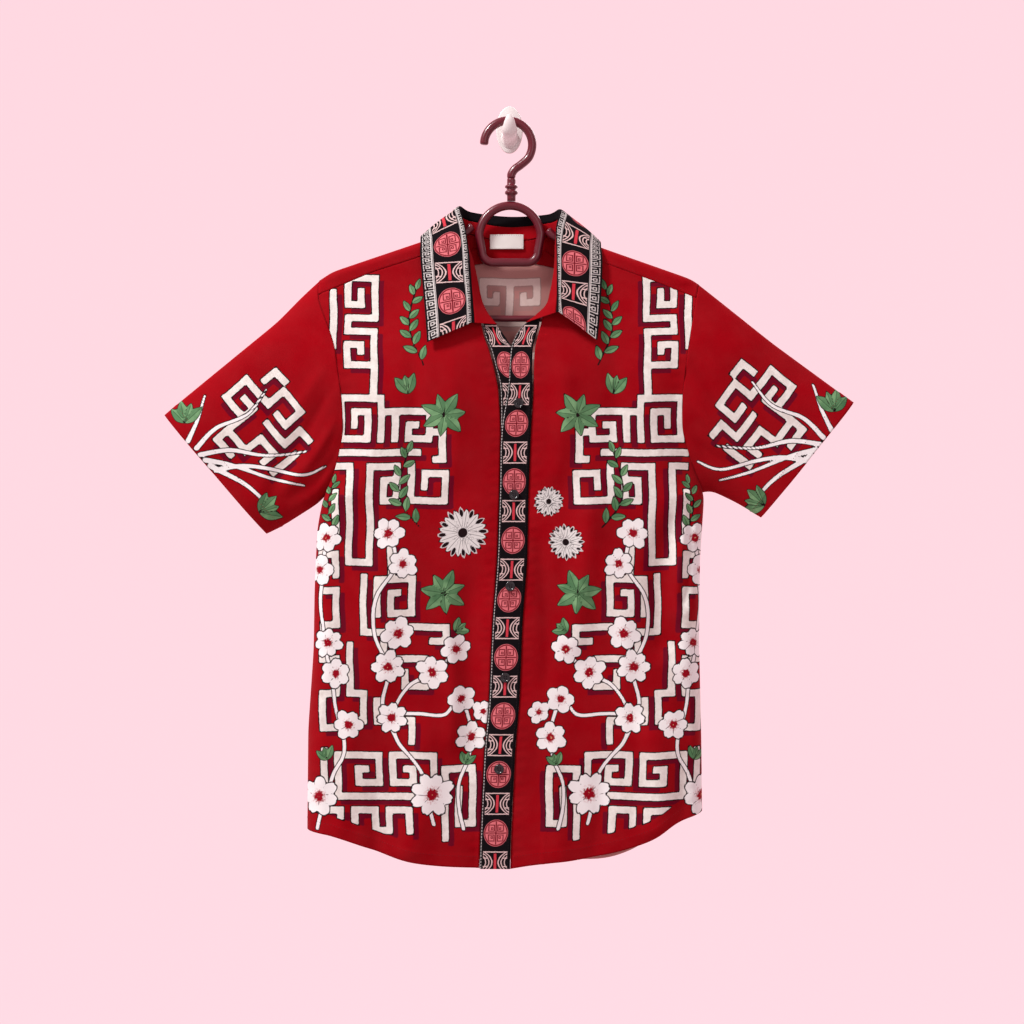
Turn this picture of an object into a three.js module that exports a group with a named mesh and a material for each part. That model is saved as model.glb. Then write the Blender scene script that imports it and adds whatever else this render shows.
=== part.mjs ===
// Batik shirt on a clothes hanger and wall hook.
// Millimetres, +Z up. The front of the shirt faces -Y and +X is on the viewer's right.
// The origin is the middle of the wall hook's flat back face, and the wall is the plane y = 0.
// "left" and "right" are the viewer's, looking at the front.

import * as THREE from 'three';

// ---- Driving sizes ---------------------------------------------------------------------------

const CLOTH = 1.2;            // wall of a single panel
const BAND = 1.4;             // wall of a doubled band: placket, stand and collar
const SEAM = 0.3;             // gap between neighbouring pieces
const TUBE = 9.5;             // hanger tube
const BAR = 7.2;              // lower bar of the hanger
const HANGER_Y = -24;         // plane of the hanger
const SHOULDER_ROLL = 8;      // radius of the cloth over a hanger arm
const CHEST_SINK = 4;         // how far the middle of the body hangs in front of the hanger plane
const FRONT_HALF = 30;        // middle of the body to the front, below the chest
const BACK_HALF = 19;         // middle of the body to the back
const FRONT_RUN = 170;        // height in which the front reaches its full depth
const BACK_RUN = 130;
const SIDE_ROLL = 22;         // width in which the cloth turns round the side seam
const ARMHOLE_BLEND = 40;     // width in which the body meets the depth of the armhole
const ARMHOLE_HALF = 19;      // half the depth of the sleeve at the armhole
const CUFF_HALF = 17;         // half the depth of the sleeve at the cuff
const CUFF_Y = -30;
const TUBE_SQUARENESS = 2.5;  // 2 is an ellipse, more is flatter
const BUTTON = { radius: 5.5, height: 2.4, tops: [-310, -410, -510, -610, -710] };
const LABEL = { left: -21.8, right: 15.7, top: -119.7, bottom: -135.9, y: -18.5, wall: 1 };

// ---- Tables ----------------------------------------------------------------------------------

const table = (columns, rows) => rows.map(
  (row) => Object.fromEntries(columns.map((name, i) => [name, row[i]])));

// The ridge of the shoulders, from one armhole to the other.
const RIDGE = table(['x', 'z'], [
  [-211, -172.5], [-197.5, -163], [-97, -129], [-58, -113.5],
  [58, -118], [99.5, -135], [202, -171], [210, -176.5],
]);

// Armhole seams and side seams, down to the hem.
const EDGE = {
  left: table(['z', 'x'], [
    [-172.5, -211], [-190, -213], [-243, -193], [-308, -184], [-345, -183], [-389, -194],
    [-411, -206], [-447, -213], [-515, -216], [-581, -217], [-669, -223], [-779, -224],
  ]),
  right: table(['z', 'x'], [
    [-176.5, 210], [-199, 205], [-253, 196], [-301, 190], [-341, 190], [-388, 205],
    [-407, 216], [-482, 211], [-570, 210], [-680, 212.5], [-759, 213.4],
  ]),
};
const ARMHOLE = {
  left: { top: -172.5, bottom: -411, out: -1 },
  right: { top: -176.5, bottom: -407, out: 1 },
};

// Sleeves: the fold along the top, the underarm seam and the two ends of the cuff.
const SLEEVE = {
  left: {
    top: [[-211, -172.5], [-230, -190], [-257, -218], [-299, -252.5], [-365, -307], [-382, -322]],
    under: [[-206, -411], [-213, -419], [-250, -443], [-269.5, -452.5]],
  },
  right: {
    top: [[210, -176.5], [231.5, -193.6], [291.6, -242], [381, -308]],
    under: [[216, -407], [225, -404.6], [252, -418], [279, -434.5]],
  },
};

// Yoke seams from the neck to the armhole, without the armhole point itself.
const YOKE_SEAM = {
  left: [[-50, -126], [-98.5, -146], [-152, -163]],
  right: [[51, -130], [99.5, -151], [152, -170]],
};
const BACK_YOKE_SEAM = [[-150, -183], [-80, -161], [0, -146], [80, -163], [150, -186]];

// Hems from the placket to the side seam, and the back hem from side to side.
const HEM = {
  left: [[-33.5, -819], [-69, -817], [-107, -813.6], [-142.5, -802], [-171.5, -791.5],
    [-198, -781], [-224, -779]],
  right: [[1, -818], [20, -816], [82, -810], [125, -799], [160, -788], [179, -769], [213.4, -759]],
  back: [[-224, -779], [-198, -784], [-175, -796], [-142, -808], [-107, -816], [0, -818],
    [112, -817], [144, -805], [160, -791], [182, -769], [213.4, -759]],
};

// The two bands of the front opening: their left and right edges. The top band laps over.
const BAND_COLUMNS = ['leftX', 'leftZ', 'rightX', 'rightZ'];
const PLACKET_TOP = table(BAND_COLUMNS, [
  [17.5, -222.5, 36, -206.5], [10.5, -230, 32, -225], [5.4, -239, 28.5, -237],
  [1.8, -250, 25.5, -250], [0, -271, 24.5, -271], [-1.6, -294, 24.5, -294],
  [-9, -343, 23, -343], [-10.5, -407, 20.5, -407], [-13, -482, 19, -482],
  [-18, -548, 14, -548], [-22, -636, 10.5, -636], [-27, -691, 6, -691],
  [-31.5, -784, 1.5, -784], [-32.5, -819.5, 0.5, -819.5],
]);
const PLACKET_UNDER = table(BAND_COLUMNS, [
  [-32.5, -190, -14.5, -223.5], [-30.5, -215, -8.7, -231], [-26, -237, -1, -243],
  [-20.5, -250, 6, -251], [-15, -271, 12, -271], [-10, -294, 17, -294],
  [-9.4, -343, 20, -343], [-10.9, -407, 19.5, -407], [-13.4, -482, 18, -482],
  [-18.4, -548, 13, -548], [-22.4, -636, 9.5, -636], [-27.4, -691, 5, -691],
  [-31.9, -784, 0.7, -784], [-32.9, -818.5, -0.3, -818.5],
]);

const BAND_STRAIGHT = -300;   // above this height the bands curve away to the neck

// The collar from its left front end, round the back of the neck, to its right front end.
// facing is 1 in front, 0 over the shoulder and -1 behind; roll is the part of the stand's
// height over which the collar's own cloth turns inside.
const COLLAR = table(
  ['seamX', 'seamZ', 'foldX', 'foldY', 'foldZ', 'edgeX', 'edgeY', 'edgeZ', 'facing', 'roll'], [
    [-14, -223, -41, -61, -222, -90, -60, -243, 1, 0.06],
    [-25.5, -208, -42, -58, -203, -92, -53.5, -216, 1, 0.06],
    [-31, -194, -43, -55, -185, -94.5, -46.5, -190, 1, 0.06],
    [-37, -165, -44.5, -50, -164, -97, -41, -164, 1, 0.06],
    [-42, -146, -46, -44, -139, -98.5, -38, -146, 1, 0.08],
    [-50, -126, -50, -36, -112, -98.5, -33, -132, 0.6, 0.15],
    [-58, -113.5, -55.5, -25, -90, -97.5, -21, -122.5, 0, 0.4],
    [-46, -119, -42, -13, -94.5, -86, -6.5, -147, -0.7, 0.4],
    [0, -128, 0, -9.5, -99, 0, -5.5, -150, -1, 0.4],
    [46, -121, 42, -13, -97, 88, -6.5, -151, -0.7, 0.4],
    [58, -118, 56, -25, -93.5, 100, -21, -128.5, 0, 0.4],
    [51, -130, 52, -36, -115, 101.5, -33.5, -138, 0.6, 0.15],
    [50, -150, 53, -45, -143, 102.5, -39, -150, 1, 0.08],
    [48, -170, 53.5, -51, -166, 102, -42.5, -170, 1, 0.06],
    [42, -198, 54, -56, -187, 100.5, -48, -195, 1, 0.06],
    [30, -212, 54, -59, -200, 98.5, -54, -219, 1, 0.06],
    [18, -221, 53.5, -61.5, -210, 96, -60, -241, 1, 0.06],
  ]);
const COLLAR_END = COLLAR.length - 1;
const LEFT_YOKE_CORNER = 5;   // rows of COLLAR where the front yoke seams start
const RIGHT_YOKE_CORNER = 11;

// The largest folds: a soft ridge (lift over 0) or trough, leaning from its top to its bottom.
const FOLDS = table(['side', 'topX', 'topZ', 'bottomX', 'bottomZ', 'width', 'lift'], [
  ['front', -34, -470, -48, -730, 17, -5], ['front', -150, -440, -128, -640, 20, 4],
  ['front', 82, -380, 78, -600, 16, 4.5], ['front', 178, -410, 166, -600, 16, -6],
  ['front', 150, -640, 166, -800, 18, 6], ['front', -95, -640, -110, -830, 22, 5],
  ['back', -70, -220, -96, -560, 24, 4], ['back', 64, -230, 92, -620, 26, 4],
  ['back', -10, -430, 6, -830, 28, -5], ['back', 140, -520, 150, -830, 22, -4],
]);

// The hook's prong: path from the pad out and up, with half widths and half heights.
const PRONG = table(['y', 'z', 'halfWidth', 'halfHeight', 'tilt'], [
  [-3.3, -9.5, 9.5, 11.5, 0], [-7, -9, 8, 9, 0], [-14, -8.2, 7.6, 8, 0.1], [-22, -7.2, 8, 7.6, 0.25],
  [-29, -5, 8.4, 6.2, 0.8], [-33.5, 0, 7, 4.4, 1.25], [-35.6, 5.5, 5, 3.2, 1.45],
  [-36.4, 10.4, 2.4, 1.6, 1.55],
]);
const PAD = { halfWidth: 15, halfHeight: 26.5, depth: 3, bevel: 0.9 };

// ---- Small helpers ---------------------------------------------------------------------------

const clamp = (value) => Math.min(1, Math.max(0, value));
const mix = (a, b, t) => a + (b - a) * t;
const smooth = (value) => clamp(value) ** 2 * (3 - 2 * clamp(value));
const vector = (x, y, z) => new THREE.Vector3(x, y, z);

// Value of one column at a given key, straight between rows.
function read(rows, key, value, at) {
  const rising = rows[1][key] > rows[0][key] ? 1 : -1;
  let i = 0;
  while (i < rows.length - 2 && (at - rows[i + 1][key]) * rising > 0) i += 1;
  const t = clamp((at - rows[i][key]) / (rows[i + 1][key] - rows[i][key]));
  return mix(rows[i][value], rows[i + 1][value], t);
}

// Value of one column at a place between rows, on a smooth curve through them all.
function between(rows, value, place) {
  const i = Math.min(rows.length - 2, Math.floor(place));
  const row = (k) => rows[Math.min(rows.length - 1, Math.max(0, k))][value];
  const t = place - i;
  const [a, b, c, d] = [row(i - 1), row(i), row(i + 1), row(i + 2)];
  return b + 0.5 * t * (c - a + t * (2 * a - 5 * b + 4 * c - d + t * (3 * (b - c) + d - a)));
}

// Points at given parts of a flat line's length.
function along(points, parts) {
  const lengths = [0];
  for (let i = 1; i < points.length; i += 1) {
    const step = Math.hypot(points[i][0] - points[i - 1][0], points[i][1] - points[i - 1][1]);
    lengths.push(lengths[i - 1] + step);
  }
  const rows = points.map(([x, z], i) => ({ part: lengths[i] / lengths.at(-1), x, z }));
  return parts.map((part) => [read(rows, 'part', 'x', part), read(rows, 'part', 'z', part)]);
}

const even = (count) => Array.from({ length: count + 1 }, (_, i) => i / count);

// A flat patch between four flat edges, as a grid of rows from top to bottom.
function patch({ top, bottom, left, right, across, down }) {
  return down.map((v, row) => across.map((u, column) => [0, 1].map((axis) => (
    mix(left[row][axis], right[row][axis], u) + mix(top[column][axis], bottom[column][axis], v)
    - mix(mix(left[0][axis], right[0][axis], u),
      mix(left.at(-1)[axis], right.at(-1)[axis], u), v)))));
}

// ---- The form of the hanging cloth -----------------------------------------------------------

const ridgeZ = (x) => read(RIDGE, 'x', 'z', x);
const drop = (x, z) => Math.max(0, ridgeZ(x) - z);
const middleY = (x, z) => HANGER_Y - CHEST_SINK * smooth(drop(x, z) / 150);
const tubeShape = (c) => Math.sqrt(Math.max(0, 1 - Math.abs(2 * c - 1) ** TUBE_SQUARENESS));

// A point of the armhole, c running from 0 on the shoulder to 1 under the arm.
function armholePoint(hand, c) {
  const z = mix(ARMHOLE[hand].top, ARMHOLE[hand].bottom, c);
  return [read(EDGE[hand], 'z', 'x', z), z];
}

// How open the armhole is at a height: 1 at its middle, 0 on the ridge and below the arm.
function armholeOpen(hand, z) {
  const { top, bottom } = ARMHOLE[hand];
  return tubeShape(clamp((top - z) / (top - bottom)));
}

// A panel's edge stands back by half a seam, and by half its wall where it turns round the side.
const edgeInset = (hand, z) => SEAM / 2 + clamp(2.4 * (1 - armholeOpen(hand, z))) * CLOTH * 0.85;

function foldLift(side, x, z) {
  let lift = 0;
  for (const fold of FOLDS) {
    const t = (z - fold.topZ) / (fold.bottomZ - fold.topZ);
    if (fold.side !== side || t < 0 || t > 1) continue;
    const away = (x - mix(fold.topX, fold.bottomX, t)) / fold.width;
    lift += fold.lift * Math.exp(-away * away) * smooth(t * 4) * smooth((1 - t) * 6);
  }
  return lift;
}

// The point of the front or back sheet at x, z.
function cloth(side, x, z) {
  const hand = x < 0 ? 'left' : 'right';
  const atArmhole = armholeOpen(hand, z);
  const inward = Math.max(0, Math.abs(read(EDGE[hand], 'z', 'x', z) - x) - edgeInset(hand, z));
  const fallen = drop(x, z);
  const [half, run, sign] = side === 'front'
    ? [FRONT_HALF, FRONT_RUN, -1] : [BACK_HALF, BACK_RUN, 1];
  const roll = Math.sqrt(1 - (1 - clamp(fallen / SHOULDER_ROLL)) ** 2);
  const full = SHOULDER_ROLL * roll + (half - SHOULDER_ROLL) * smooth(fallen / run);
  const turn = mix(Math.sqrt(1 - (1 - clamp(inward / SIDE_ROLL)) ** 2),
    smooth(inward / ARMHOLE_BLEND), atArmhole);
  const edge = Math.max(SEAM * 0.8, ARMHOLE_HALF * atArmhole);
  const depth = mix(edge, full + foldLift(side, x, z), turn);
  return vector(x, middleY(x, z) + sign * depth, z);
}

// ---- Walls -----------------------------------------------------------------------------------

function gridNormals(grid, closed) {
  const rows = grid.length;
  const columns = grid[0].length;
  const wrap = (c) => (closed ? (c + columns) % columns : Math.min(columns - 1, Math.max(0, c)));
  return grid.map((line, r) => line.map((_, c) => {
    const down = grid[Math.min(rows - 1, r + 1)][c].clone().sub(grid[Math.max(0, r - 1)][c]);
    const across = line[wrap(c + 1)].clone().sub(line[wrap(c - 1)]);
    return across.cross(down).normalize();
  }));
}

// The same grid moved along its normals, to the side where the front is.
function lifted(grid, distance) {
  const normals = gridNormals(grid, false);
  return grid.map((line, r) => line.map((point, c) => {
    const normal = normals[r][c];
    return point.clone().addScaledVector(normal, normal.y < 0 ? distance : -distance);
  }));
}

function closedGeometry(points, triangles) {
  let volume = 0;
  for (const [a, b, c] of triangles) {
    volume += points[a].dot(points[b].clone().cross(points[c]));
  }
  const geometry = new THREE.BufferGeometry();
  const flat = points.flatMap((point) => [point.x, point.y, point.z]);
  geometry.setAttribute('position', new THREE.Float32BufferAttribute(flat, 3));
  geometry.setIndex(triangles.flatMap(([a, b, c]) => (volume < 0 ? [a, c, b] : [a, b, c])));
  geometry.computeVertexNormals();
  return geometry;
}

// A wall of even thickness on a grid of points. A closed grid joins its last column to its first.
function wall(grid, thickness, closed = false) {
  const normals = gridNormals(grid, closed);
  const rows = grid.length;
  const columns = grid[0].length;
  const points = [1, -1].flatMap((face) => grid.flatMap((line, r) => line.map(
    (point, c) => point.clone().addScaledVector(normals[r][c], face * thickness / 2))));
  const at = (face, r, c) => face * rows * columns + r * columns + (c % columns);
  const triangles = [];
  const quad = (a, b, c, d) => triangles.push([a, b, c], [a, c, d]);
  const lastColumn = closed ? columns : columns - 1;
  for (let r = 0; r < rows - 1; r += 1) {
    for (let c = 0; c < lastColumn; c += 1) {
      quad(at(0, r, c), at(0, r + 1, c), at(0, r + 1, c + 1), at(0, r, c + 1));
      quad(at(1, r, c), at(1, r, c + 1), at(1, r + 1, c + 1), at(1, r + 1, c));
    }
  }
  for (let c = 0; c < lastColumn; c += 1) {
    quad(at(0, 0, c), at(0, 0, c + 1), at(1, 0, c + 1), at(1, 0, c));
    quad(at(0, rows - 1, c + 1), at(0, rows - 1, c), at(1, rows - 1, c), at(1, rows - 1, c + 1));
  }
  for (let r = 0; r < rows - 1 && !closed; r += 1) {
    quad(at(0, r + 1, 0), at(0, r, 0), at(1, r, 0), at(1, r + 1, 0));
    quad(at(0, r, columns - 1), at(0, r + 1, columns - 1), at(1, r + 1, columns - 1),
      at(1, r, columns - 1));
  }
  return closedGeometry(points, triangles);
}

// A solid through a stack of rings, closed by a fan at each end.
function loft(rings) {
  const count = rings[0].length;
  const points = rings.flat();
  const triangles = [];
  for (let r = 0; r < rings.length - 1; r += 1) {
    for (let i = 0; i < count; i += 1) {
      const [a, b] = [r * count + i, r * count + ((i + 1) % count)];
      triangles.push([a, b, b + count], [a, b + count, a + count]);
    }
  }
  const last = (rings.length - 1) * count;
  for (let i = 1; i < count - 1; i += 1) {
    triangles.push([0, i + 1, i], [last, last + i, last + i + 1]);
  }
  return closedGeometry(points, triangles);
}

// ---- Body panels -----------------------------------------------------------------------------

const ARMHOLE_STEPS = 12;
const FRONT_YOKE_STEP = 2;    // armhole steps where the yoke seams end
const BACK_YOKE_STEP = 3;
const SIDE_STEPS = 11;
const armholePart = (step) => (1 - Math.cos((Math.PI * step) / ARMHOLE_STEPS)) / 2;

function outerEdge(hand, firstStep) {
  const { top, bottom, out } = ARMHOLE[hand];
  const heights = [];
  for (let step = firstStep; step <= ARMHOLE_STEPS; step += 1) {
    heights.push(mix(top, bottom, armholePart(step)));
  }
  const hem = EDGE[hand].at(-1).z;
  for (let step = 1; step <= SIDE_STEPS; step += 1) {
    heights.push(mix(bottom, hem, (step / SIDE_STEPS) ** 1.15));
  }
  return heights.map((z) => [read(EDGE[hand], 'z', 'x', z) - out * edgeInset(hand, z), z]);
}

const lengthParts = (points) => {
  const lengths = [0];
  points.slice(1).forEach(([x, z], i) => {
    lengths.push(lengths[i] + Math.hypot(x - points[i][0], z - points[i][1]));
  });
  return lengths.map((length) => length / lengths.at(-1));
};

// Columns from the placket to the side seam, closer where the cloth turns round the side.
const FRONT_COLUMNS = [0, 0.12, 0.24, 0.36, 0.48, 0.6, 0.71, 0.8, 0.88, 0.935, 0.97, 0.992, 1];
const BACK_COLUMNS = [
  0, 0.004, 0.015, 0.033, 0.06, 0.11, 0.17, 0.24, 0.32, 0.41, 0.5,
  0.59, 0.68, 0.76, 0.83, 0.89, 0.94, 0.967, 0.985, 0.996, 1];

function yokeSeam(hand) {
  return [...YOKE_SEAM[hand], armholePoint(hand, armholePart(FRONT_YOKE_STEP))];
}

function frontPanel(hand) {
  const { out } = ARMHOLE[hand];
  const band = hand === 'left' ? PLACKET_UNDER : PLACKET_TOP;
  const side = outerEdge(hand, FRONT_YOKE_STEP);
  const down = lengthParts(side);
  const neckRows = hand === 'left' ? [5, 4, 3] : [11, 12, 13, 14];
  const neck = neckRows.map((row) => [COLLAR[row].seamX, COLLAR[row].seamZ]);
  const clear = (z) => (z > BAND_STRAIGHT ? 7 * SEAM : SEAM);
  const bandEdge = band.map((row) => (hand === 'left'
    ? [row.leftX - clear(row.leftZ), row.leftZ] : [row.rightX + clear(row.rightZ), row.rightZ]));
  const centre = along([...neck, ...bandEdge], down);
  const top = along(yokeSeam(hand), FRONT_COLUMNS);
  top[top.length - 1] = side[0];
  const bottom = along([bandEdge.at(-1), ...HEM[hand].slice(1, -1), side.at(-1)], FRONT_COLUMNS);
  const flat = patch({ top, bottom, left: centre, right: side, across: FRONT_COLUMNS, down });
  const gap = down.map((v) => (v === 0 ? SEAM : 0));
  return wall(flat.map((line, row) => line.map(([x, z], i) => cloth(
    'front', i === 0 ? x + out * SEAM / 2 : x, z - gap[row]))), CLOTH);
}

function backPanel() {
  const left = outerEdge('left', BACK_YOKE_STEP);
  const right = outerEdge('right', BACK_YOKE_STEP);
  const down = lengthParts(left);
  const top = along([left[0], ...BACK_YOKE_SEAM, right[0]], BACK_COLUMNS);
  const bottom = along([left.at(-1), ...HEM.back.slice(1, -1), right.at(-1)], BACK_COLUMNS);
  const flat = patch({ top, bottom, left, right, across: BACK_COLUMNS, down });
  return wall(flat.map((line, row) => line.map(
    ([x, z]) => cloth('back', x, row === 0 ? z - SEAM : z))), CLOTH);
}

// ---- Yoke ------------------------------------------------------------------------------------

// Lines over each shoulder, from the front yoke seam back to the corner of the back yoke seam:
// the armhole step that the line ends on, and its place along the neck from the front corner.
const SHOULDER_LINES = table(['side', 'step', 'neck'], [
  ['front', 2, 0], ['front', 1, 0.55], ['front', 0, 1], ['back', 1, 1.3], ['back', 2, 1.65],
]);

const neckPoint = (place) => [between(COLLAR, 'seamX', place), between(COLLAR, 'seamZ', place)];

// Each line runs from the neck to the outer edge, as the fall below the ridge at even steps.
function shoulderLine(hand, { side, step, neck }) {
  const { out } = ARMHOLE[hand];
  const place = hand === 'left' ? LEFT_YOKE_CORNER + neck : RIGHT_YOKE_CORNER - neck;
  const [neckX, neckZ] = neckPoint(place);
  const [armX, armZ] = armholePoint(hand, armholePart(step));
  const onSeam = side === 'front' && step === FRONT_YOKE_STEP;
  const seam = onSeam ? along(yokeSeam(hand), FRONT_COLUMNS) : null;
  return FRONT_COLUMNS.map((u, i) => {
    const x = onSeam ? seam[i][0] : mix(neckX, armX, u);
    const fall = onSeam ? drop(x, seam[i][1])
      : mix(drop(neckX, neckZ), drop(armX, armZ), u);
    const inset = i === FRONT_COLUMNS.length - 1 ? out * SEAM / 2 : 0;
    const onRidge = step === 0 ? 0 : fall;
    return cloth(side, x - inset, ridgeZ(x) - onRidge);
  });
}

function backLine(u) {
  const left = armholePoint('left', armholePart(BACK_YOKE_STEP));
  const right = armholePoint('right', armholePart(BACK_YOKE_STEP));
  const [[seamX, seamZ]] = along([left, ...BACK_YOKE_SEAM, right], [u]);
  const span = RIGHT_YOKE_CORNER - LEFT_YOKE_CORNER - 4;
  const [neckX, neckZ] = neckPoint(LEFT_YOKE_CORNER + 2 + span * u);
  const inset = u === 0 ? SEAM / 2 : 0;
  const outset = u === 1 ? SEAM / 2 : 0;
  return FRONT_COLUMNS.map((v) => cloth(
    'back', mix(neckX, seamX + inset - outset, v), mix(neckZ, seamZ, v)));
}

function yoke() {
  const leftLines = SHOULDER_LINES.map((row) => shoulderLine('left', row));
  const rightLines = SHOULDER_LINES.map((row) => shoulderLine('right', row)).reverse();
  return wall([...leftLines, ...BACK_COLUMNS.map(backLine), ...rightLines], CLOTH);
}

// The inner yoke, where the neck shows it: inside the back of the yoke.
function yokeFacing() {
  const parts = even(14).map((t) => mix(0.2, 0.8, t));
  const grid = parts.map((u) => {
    const line = backLine(u);
    return even(4).map((v) => line[0].clone().lerp(line.at(-1), v));
  });
  return wall(lifted(grid, CLOTH + SEAM), CLOTH);
}

// ---- Sleeves ---------------------------------------------------------------------------------

const SLEEVE_ROWS = [0, 0.1, 0.25, 0.45, 0.65, 0.85, 1];

function sleeve(hand) {
  const { out } = ARMHOLE[hand];
  const { top, under } = SLEEVE[hand];
  const parts = even(ARMHOLE_STEPS).map((_, step) => armholePart(step));
  const flat = patch({
    top: parts.map((c) => armholePoint(hand, c)),
    bottom: along([top.at(-1), under.at(-1)], parts),
    left: along(top, SLEEVE_ROWS),
    right: along(under, SLEEVE_ROWS),
    across: parts,
    down: SLEEVE_ROWS,
  });
  const point = (row, step, sign) => {
    const [x, z] = flat[row][step];
    const r = SLEEVE_ROWS[row];
    const half = mix(ARMHOLE_HALF, CUFF_HALF, r) * tubeShape(parts[step]);
    const y = mix(middleY(...armholePoint(hand, parts[step])), CUFF_Y, r);
    return vector(x + (row === 0 ? out * SEAM / 2 : 0), y + sign * half, z);
  };
  const grid = SLEEVE_ROWS.map((_, row) => [
    ...parts.map((_c, step) => point(row, step, -1)),
    ...parts.slice(1, -1).map((_c, step) => point(row, ARMHOLE_STEPS - 1 - step, 1)),
  ]);
  return wall(grid, CLOTH, true);
}

// ---- Placket, collar and label ---------------------------------------------------------------

function placket(rows, lift, topRow) {
  const across = even(3);
  const grid = rows.map((row, i) => across.map((u) => {
    const [x, z] = i === 0 ? topRow(u) : [
      mix(row.leftX, row.rightX, u), mix(row.leftZ, row.rightZ, u)];
    return cloth('front', x, z);
  }));
  return wall(lifted(grid, lift), BAND);
}

const COLLAR_TURN = 1.7;      // how far from the fold the collar starts to turn

// One section of the collar: where the stand starts, the fold, the edge and the way out.
function collarSection(place) {
  const value = (name) => between(COLLAR, name, place);
  const facing = value('facing');
  const side = facing > 0 ? 'front' : 'back';
  const step = (CLOTH + BAND) / 2 + SEAM;
  const lap = value('seamX') > 0 ? BAND + SEAM : 0;
  const foot = cloth(side, value('seamX'), value('seamZ')).add(vector(
    0, -(step + lap) * Math.max(0, facing),
    step * (1 - Math.abs(facing)) + 0.7 * Math.max(0, -facing)));
  const fold = vector(value('foldX'), value('foldY'), value('foldZ'));
  const edge = vector(value('edgeX'), value('edgeY'), value('edgeZ'));
  const outward = vector(Math.sign(fold.x) * 0.7 * (1 - Math.abs(facing)), -facing,
    0.7 * (1 - Math.abs(facing)));
  const height = fold.distanceTo(foot);
  const inner = fold.clone().lerp(foot, Math.max(value('roll'), 1.5 * COLLAR_TURN / height));
  return { foot, fold, edge, outward, inner, height };
}

const COLLAR_PLACES = even(COLLAR_END * 2).map((t) => t * COLLAR_END);

function collarStand() {
  return wall(COLLAR_PLACES.map((place) => {
    const { foot, inner } = collarSection(place);
    const top = inner.clone().lerp(foot, 2 * SEAM / inner.distanceTo(foot));
    return even(3).map((t) => foot.clone().lerp(top, t));
  }), BAND);
}

function collar() {
  return wall(COLLAR_PLACES.map((place) => {
    const { fold, edge, inner, outward, foot, height } = collarSection(place);
    const inside = fold.clone().lerp(foot, COLLAR_TURN / height);
    const leaf = (t) => fold.clone().lerp(edge, t).addScaledVector(outward, 8 * t * (1 - t));
    const outside = leaf(0.05).addScaledVector(outward, 1);
    return [inner, inside, fold, outside, leaf(0.25), leaf(0.5), leaf(0.75), edge];
  }), BAND);
}

function neckLabel() {
  const { left, right, top, bottom, y, wall: thickness } = LABEL;
  return wall(even(1).map((v) => even(3).map(
    (u) => vector(mix(left, right, u), y, mix(top, bottom, v)))), thickness);
}

// A round shirt button lies on the top band, clear of its nearest point.
function button(z) {
  const { radius, height } = BUTTON;
  const middle = PLACKET_TOP.map((row) => ({
    x: (row.leftX + row.rightX) / 2, z: (row.leftZ + row.rightZ) / 2 }));
  const x = read(middle, 'z', 'x', z);
  const ring = even(8).map((t) => cloth('front', x + radius * Math.cos(2 * Math.PI * t),
    z + radius * Math.sin(2 * Math.PI * t)).y);
  const faceY = Math.min(...ring) - (CLOTH + BAND) / 2 - BAND / 2 - SEAM * 2 - 0.1;
  const geometry = new THREE.CylinderGeometry(radius, radius, height, 20);
  geometry.translate(x, faceY - height / 2, z);
  return geometry;
}

// ---- Hanger and wall hook --------------------------------------------------------------------

const HOOK = { x: -1.6, z: -20.7, radius: 26.8, endAngle: -0.62 };
const STEM = { x: 2, top: -58.5, bottom: -83.3, ringRadius: 7.2, ringHeights: [-67.5, -74.5] };
const RING = { halfWidth: 34, top: -88.4, bottom: -151.5, footHalfWidth: 31, corner: 12, x: 0.5 };

function tube(points, diameter, steps) {
  const path = new THREE.CatmullRomCurve3(points.map(([x, z]) => vector(x, HANGER_Y, z)));
  const section = new THREE.Shape();
  section.absarc(0, 0, diameter / 2, 0, Math.PI * 2);
  return new THREE.ExtrudeGeometry(section, { extrudePath: path, steps, curveSegments: 5 });
}

function hangerHook() {
  const turns = even(14).map((t) => {
    const angle = mix(Math.PI, HOOK.endAngle, t);
    return [HOOK.x + HOOK.radius * Math.cos(angle), HOOK.z + HOOK.radius * Math.sin(angle)];
  });
  const bend = [[12.5, -43], [6, -47.8], [2.4, -53], [STEM.x, -56.5]];
  return tube([...turns, ...bend, [STEM.x, STEM.top + SEAM]], TUBE, 34);
}

function hangerStem() {
  const profile = [[0, STEM.bottom], [TUBE / 2, STEM.bottom]];
  [...STEM.ringHeights].reverse().forEach((z) => {
    profile.push([TUBE / 2, z - 2], [STEM.ringRadius, z - 1], [STEM.ringRadius, z + 1],
      [TUBE / 2, z + 2]);
  });
  profile.push([TUBE / 2, STEM.top], [0, STEM.top]);
  const geometry = new THREE.LatheGeometry(profile.map(([r, z]) => new THREE.Vector2(r, z)), 20);
  geometry.rotateX(Math.PI / 2);
  geometry.translate(STEM.x, HANGER_Y, 0);
  return geometry;
}

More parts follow.
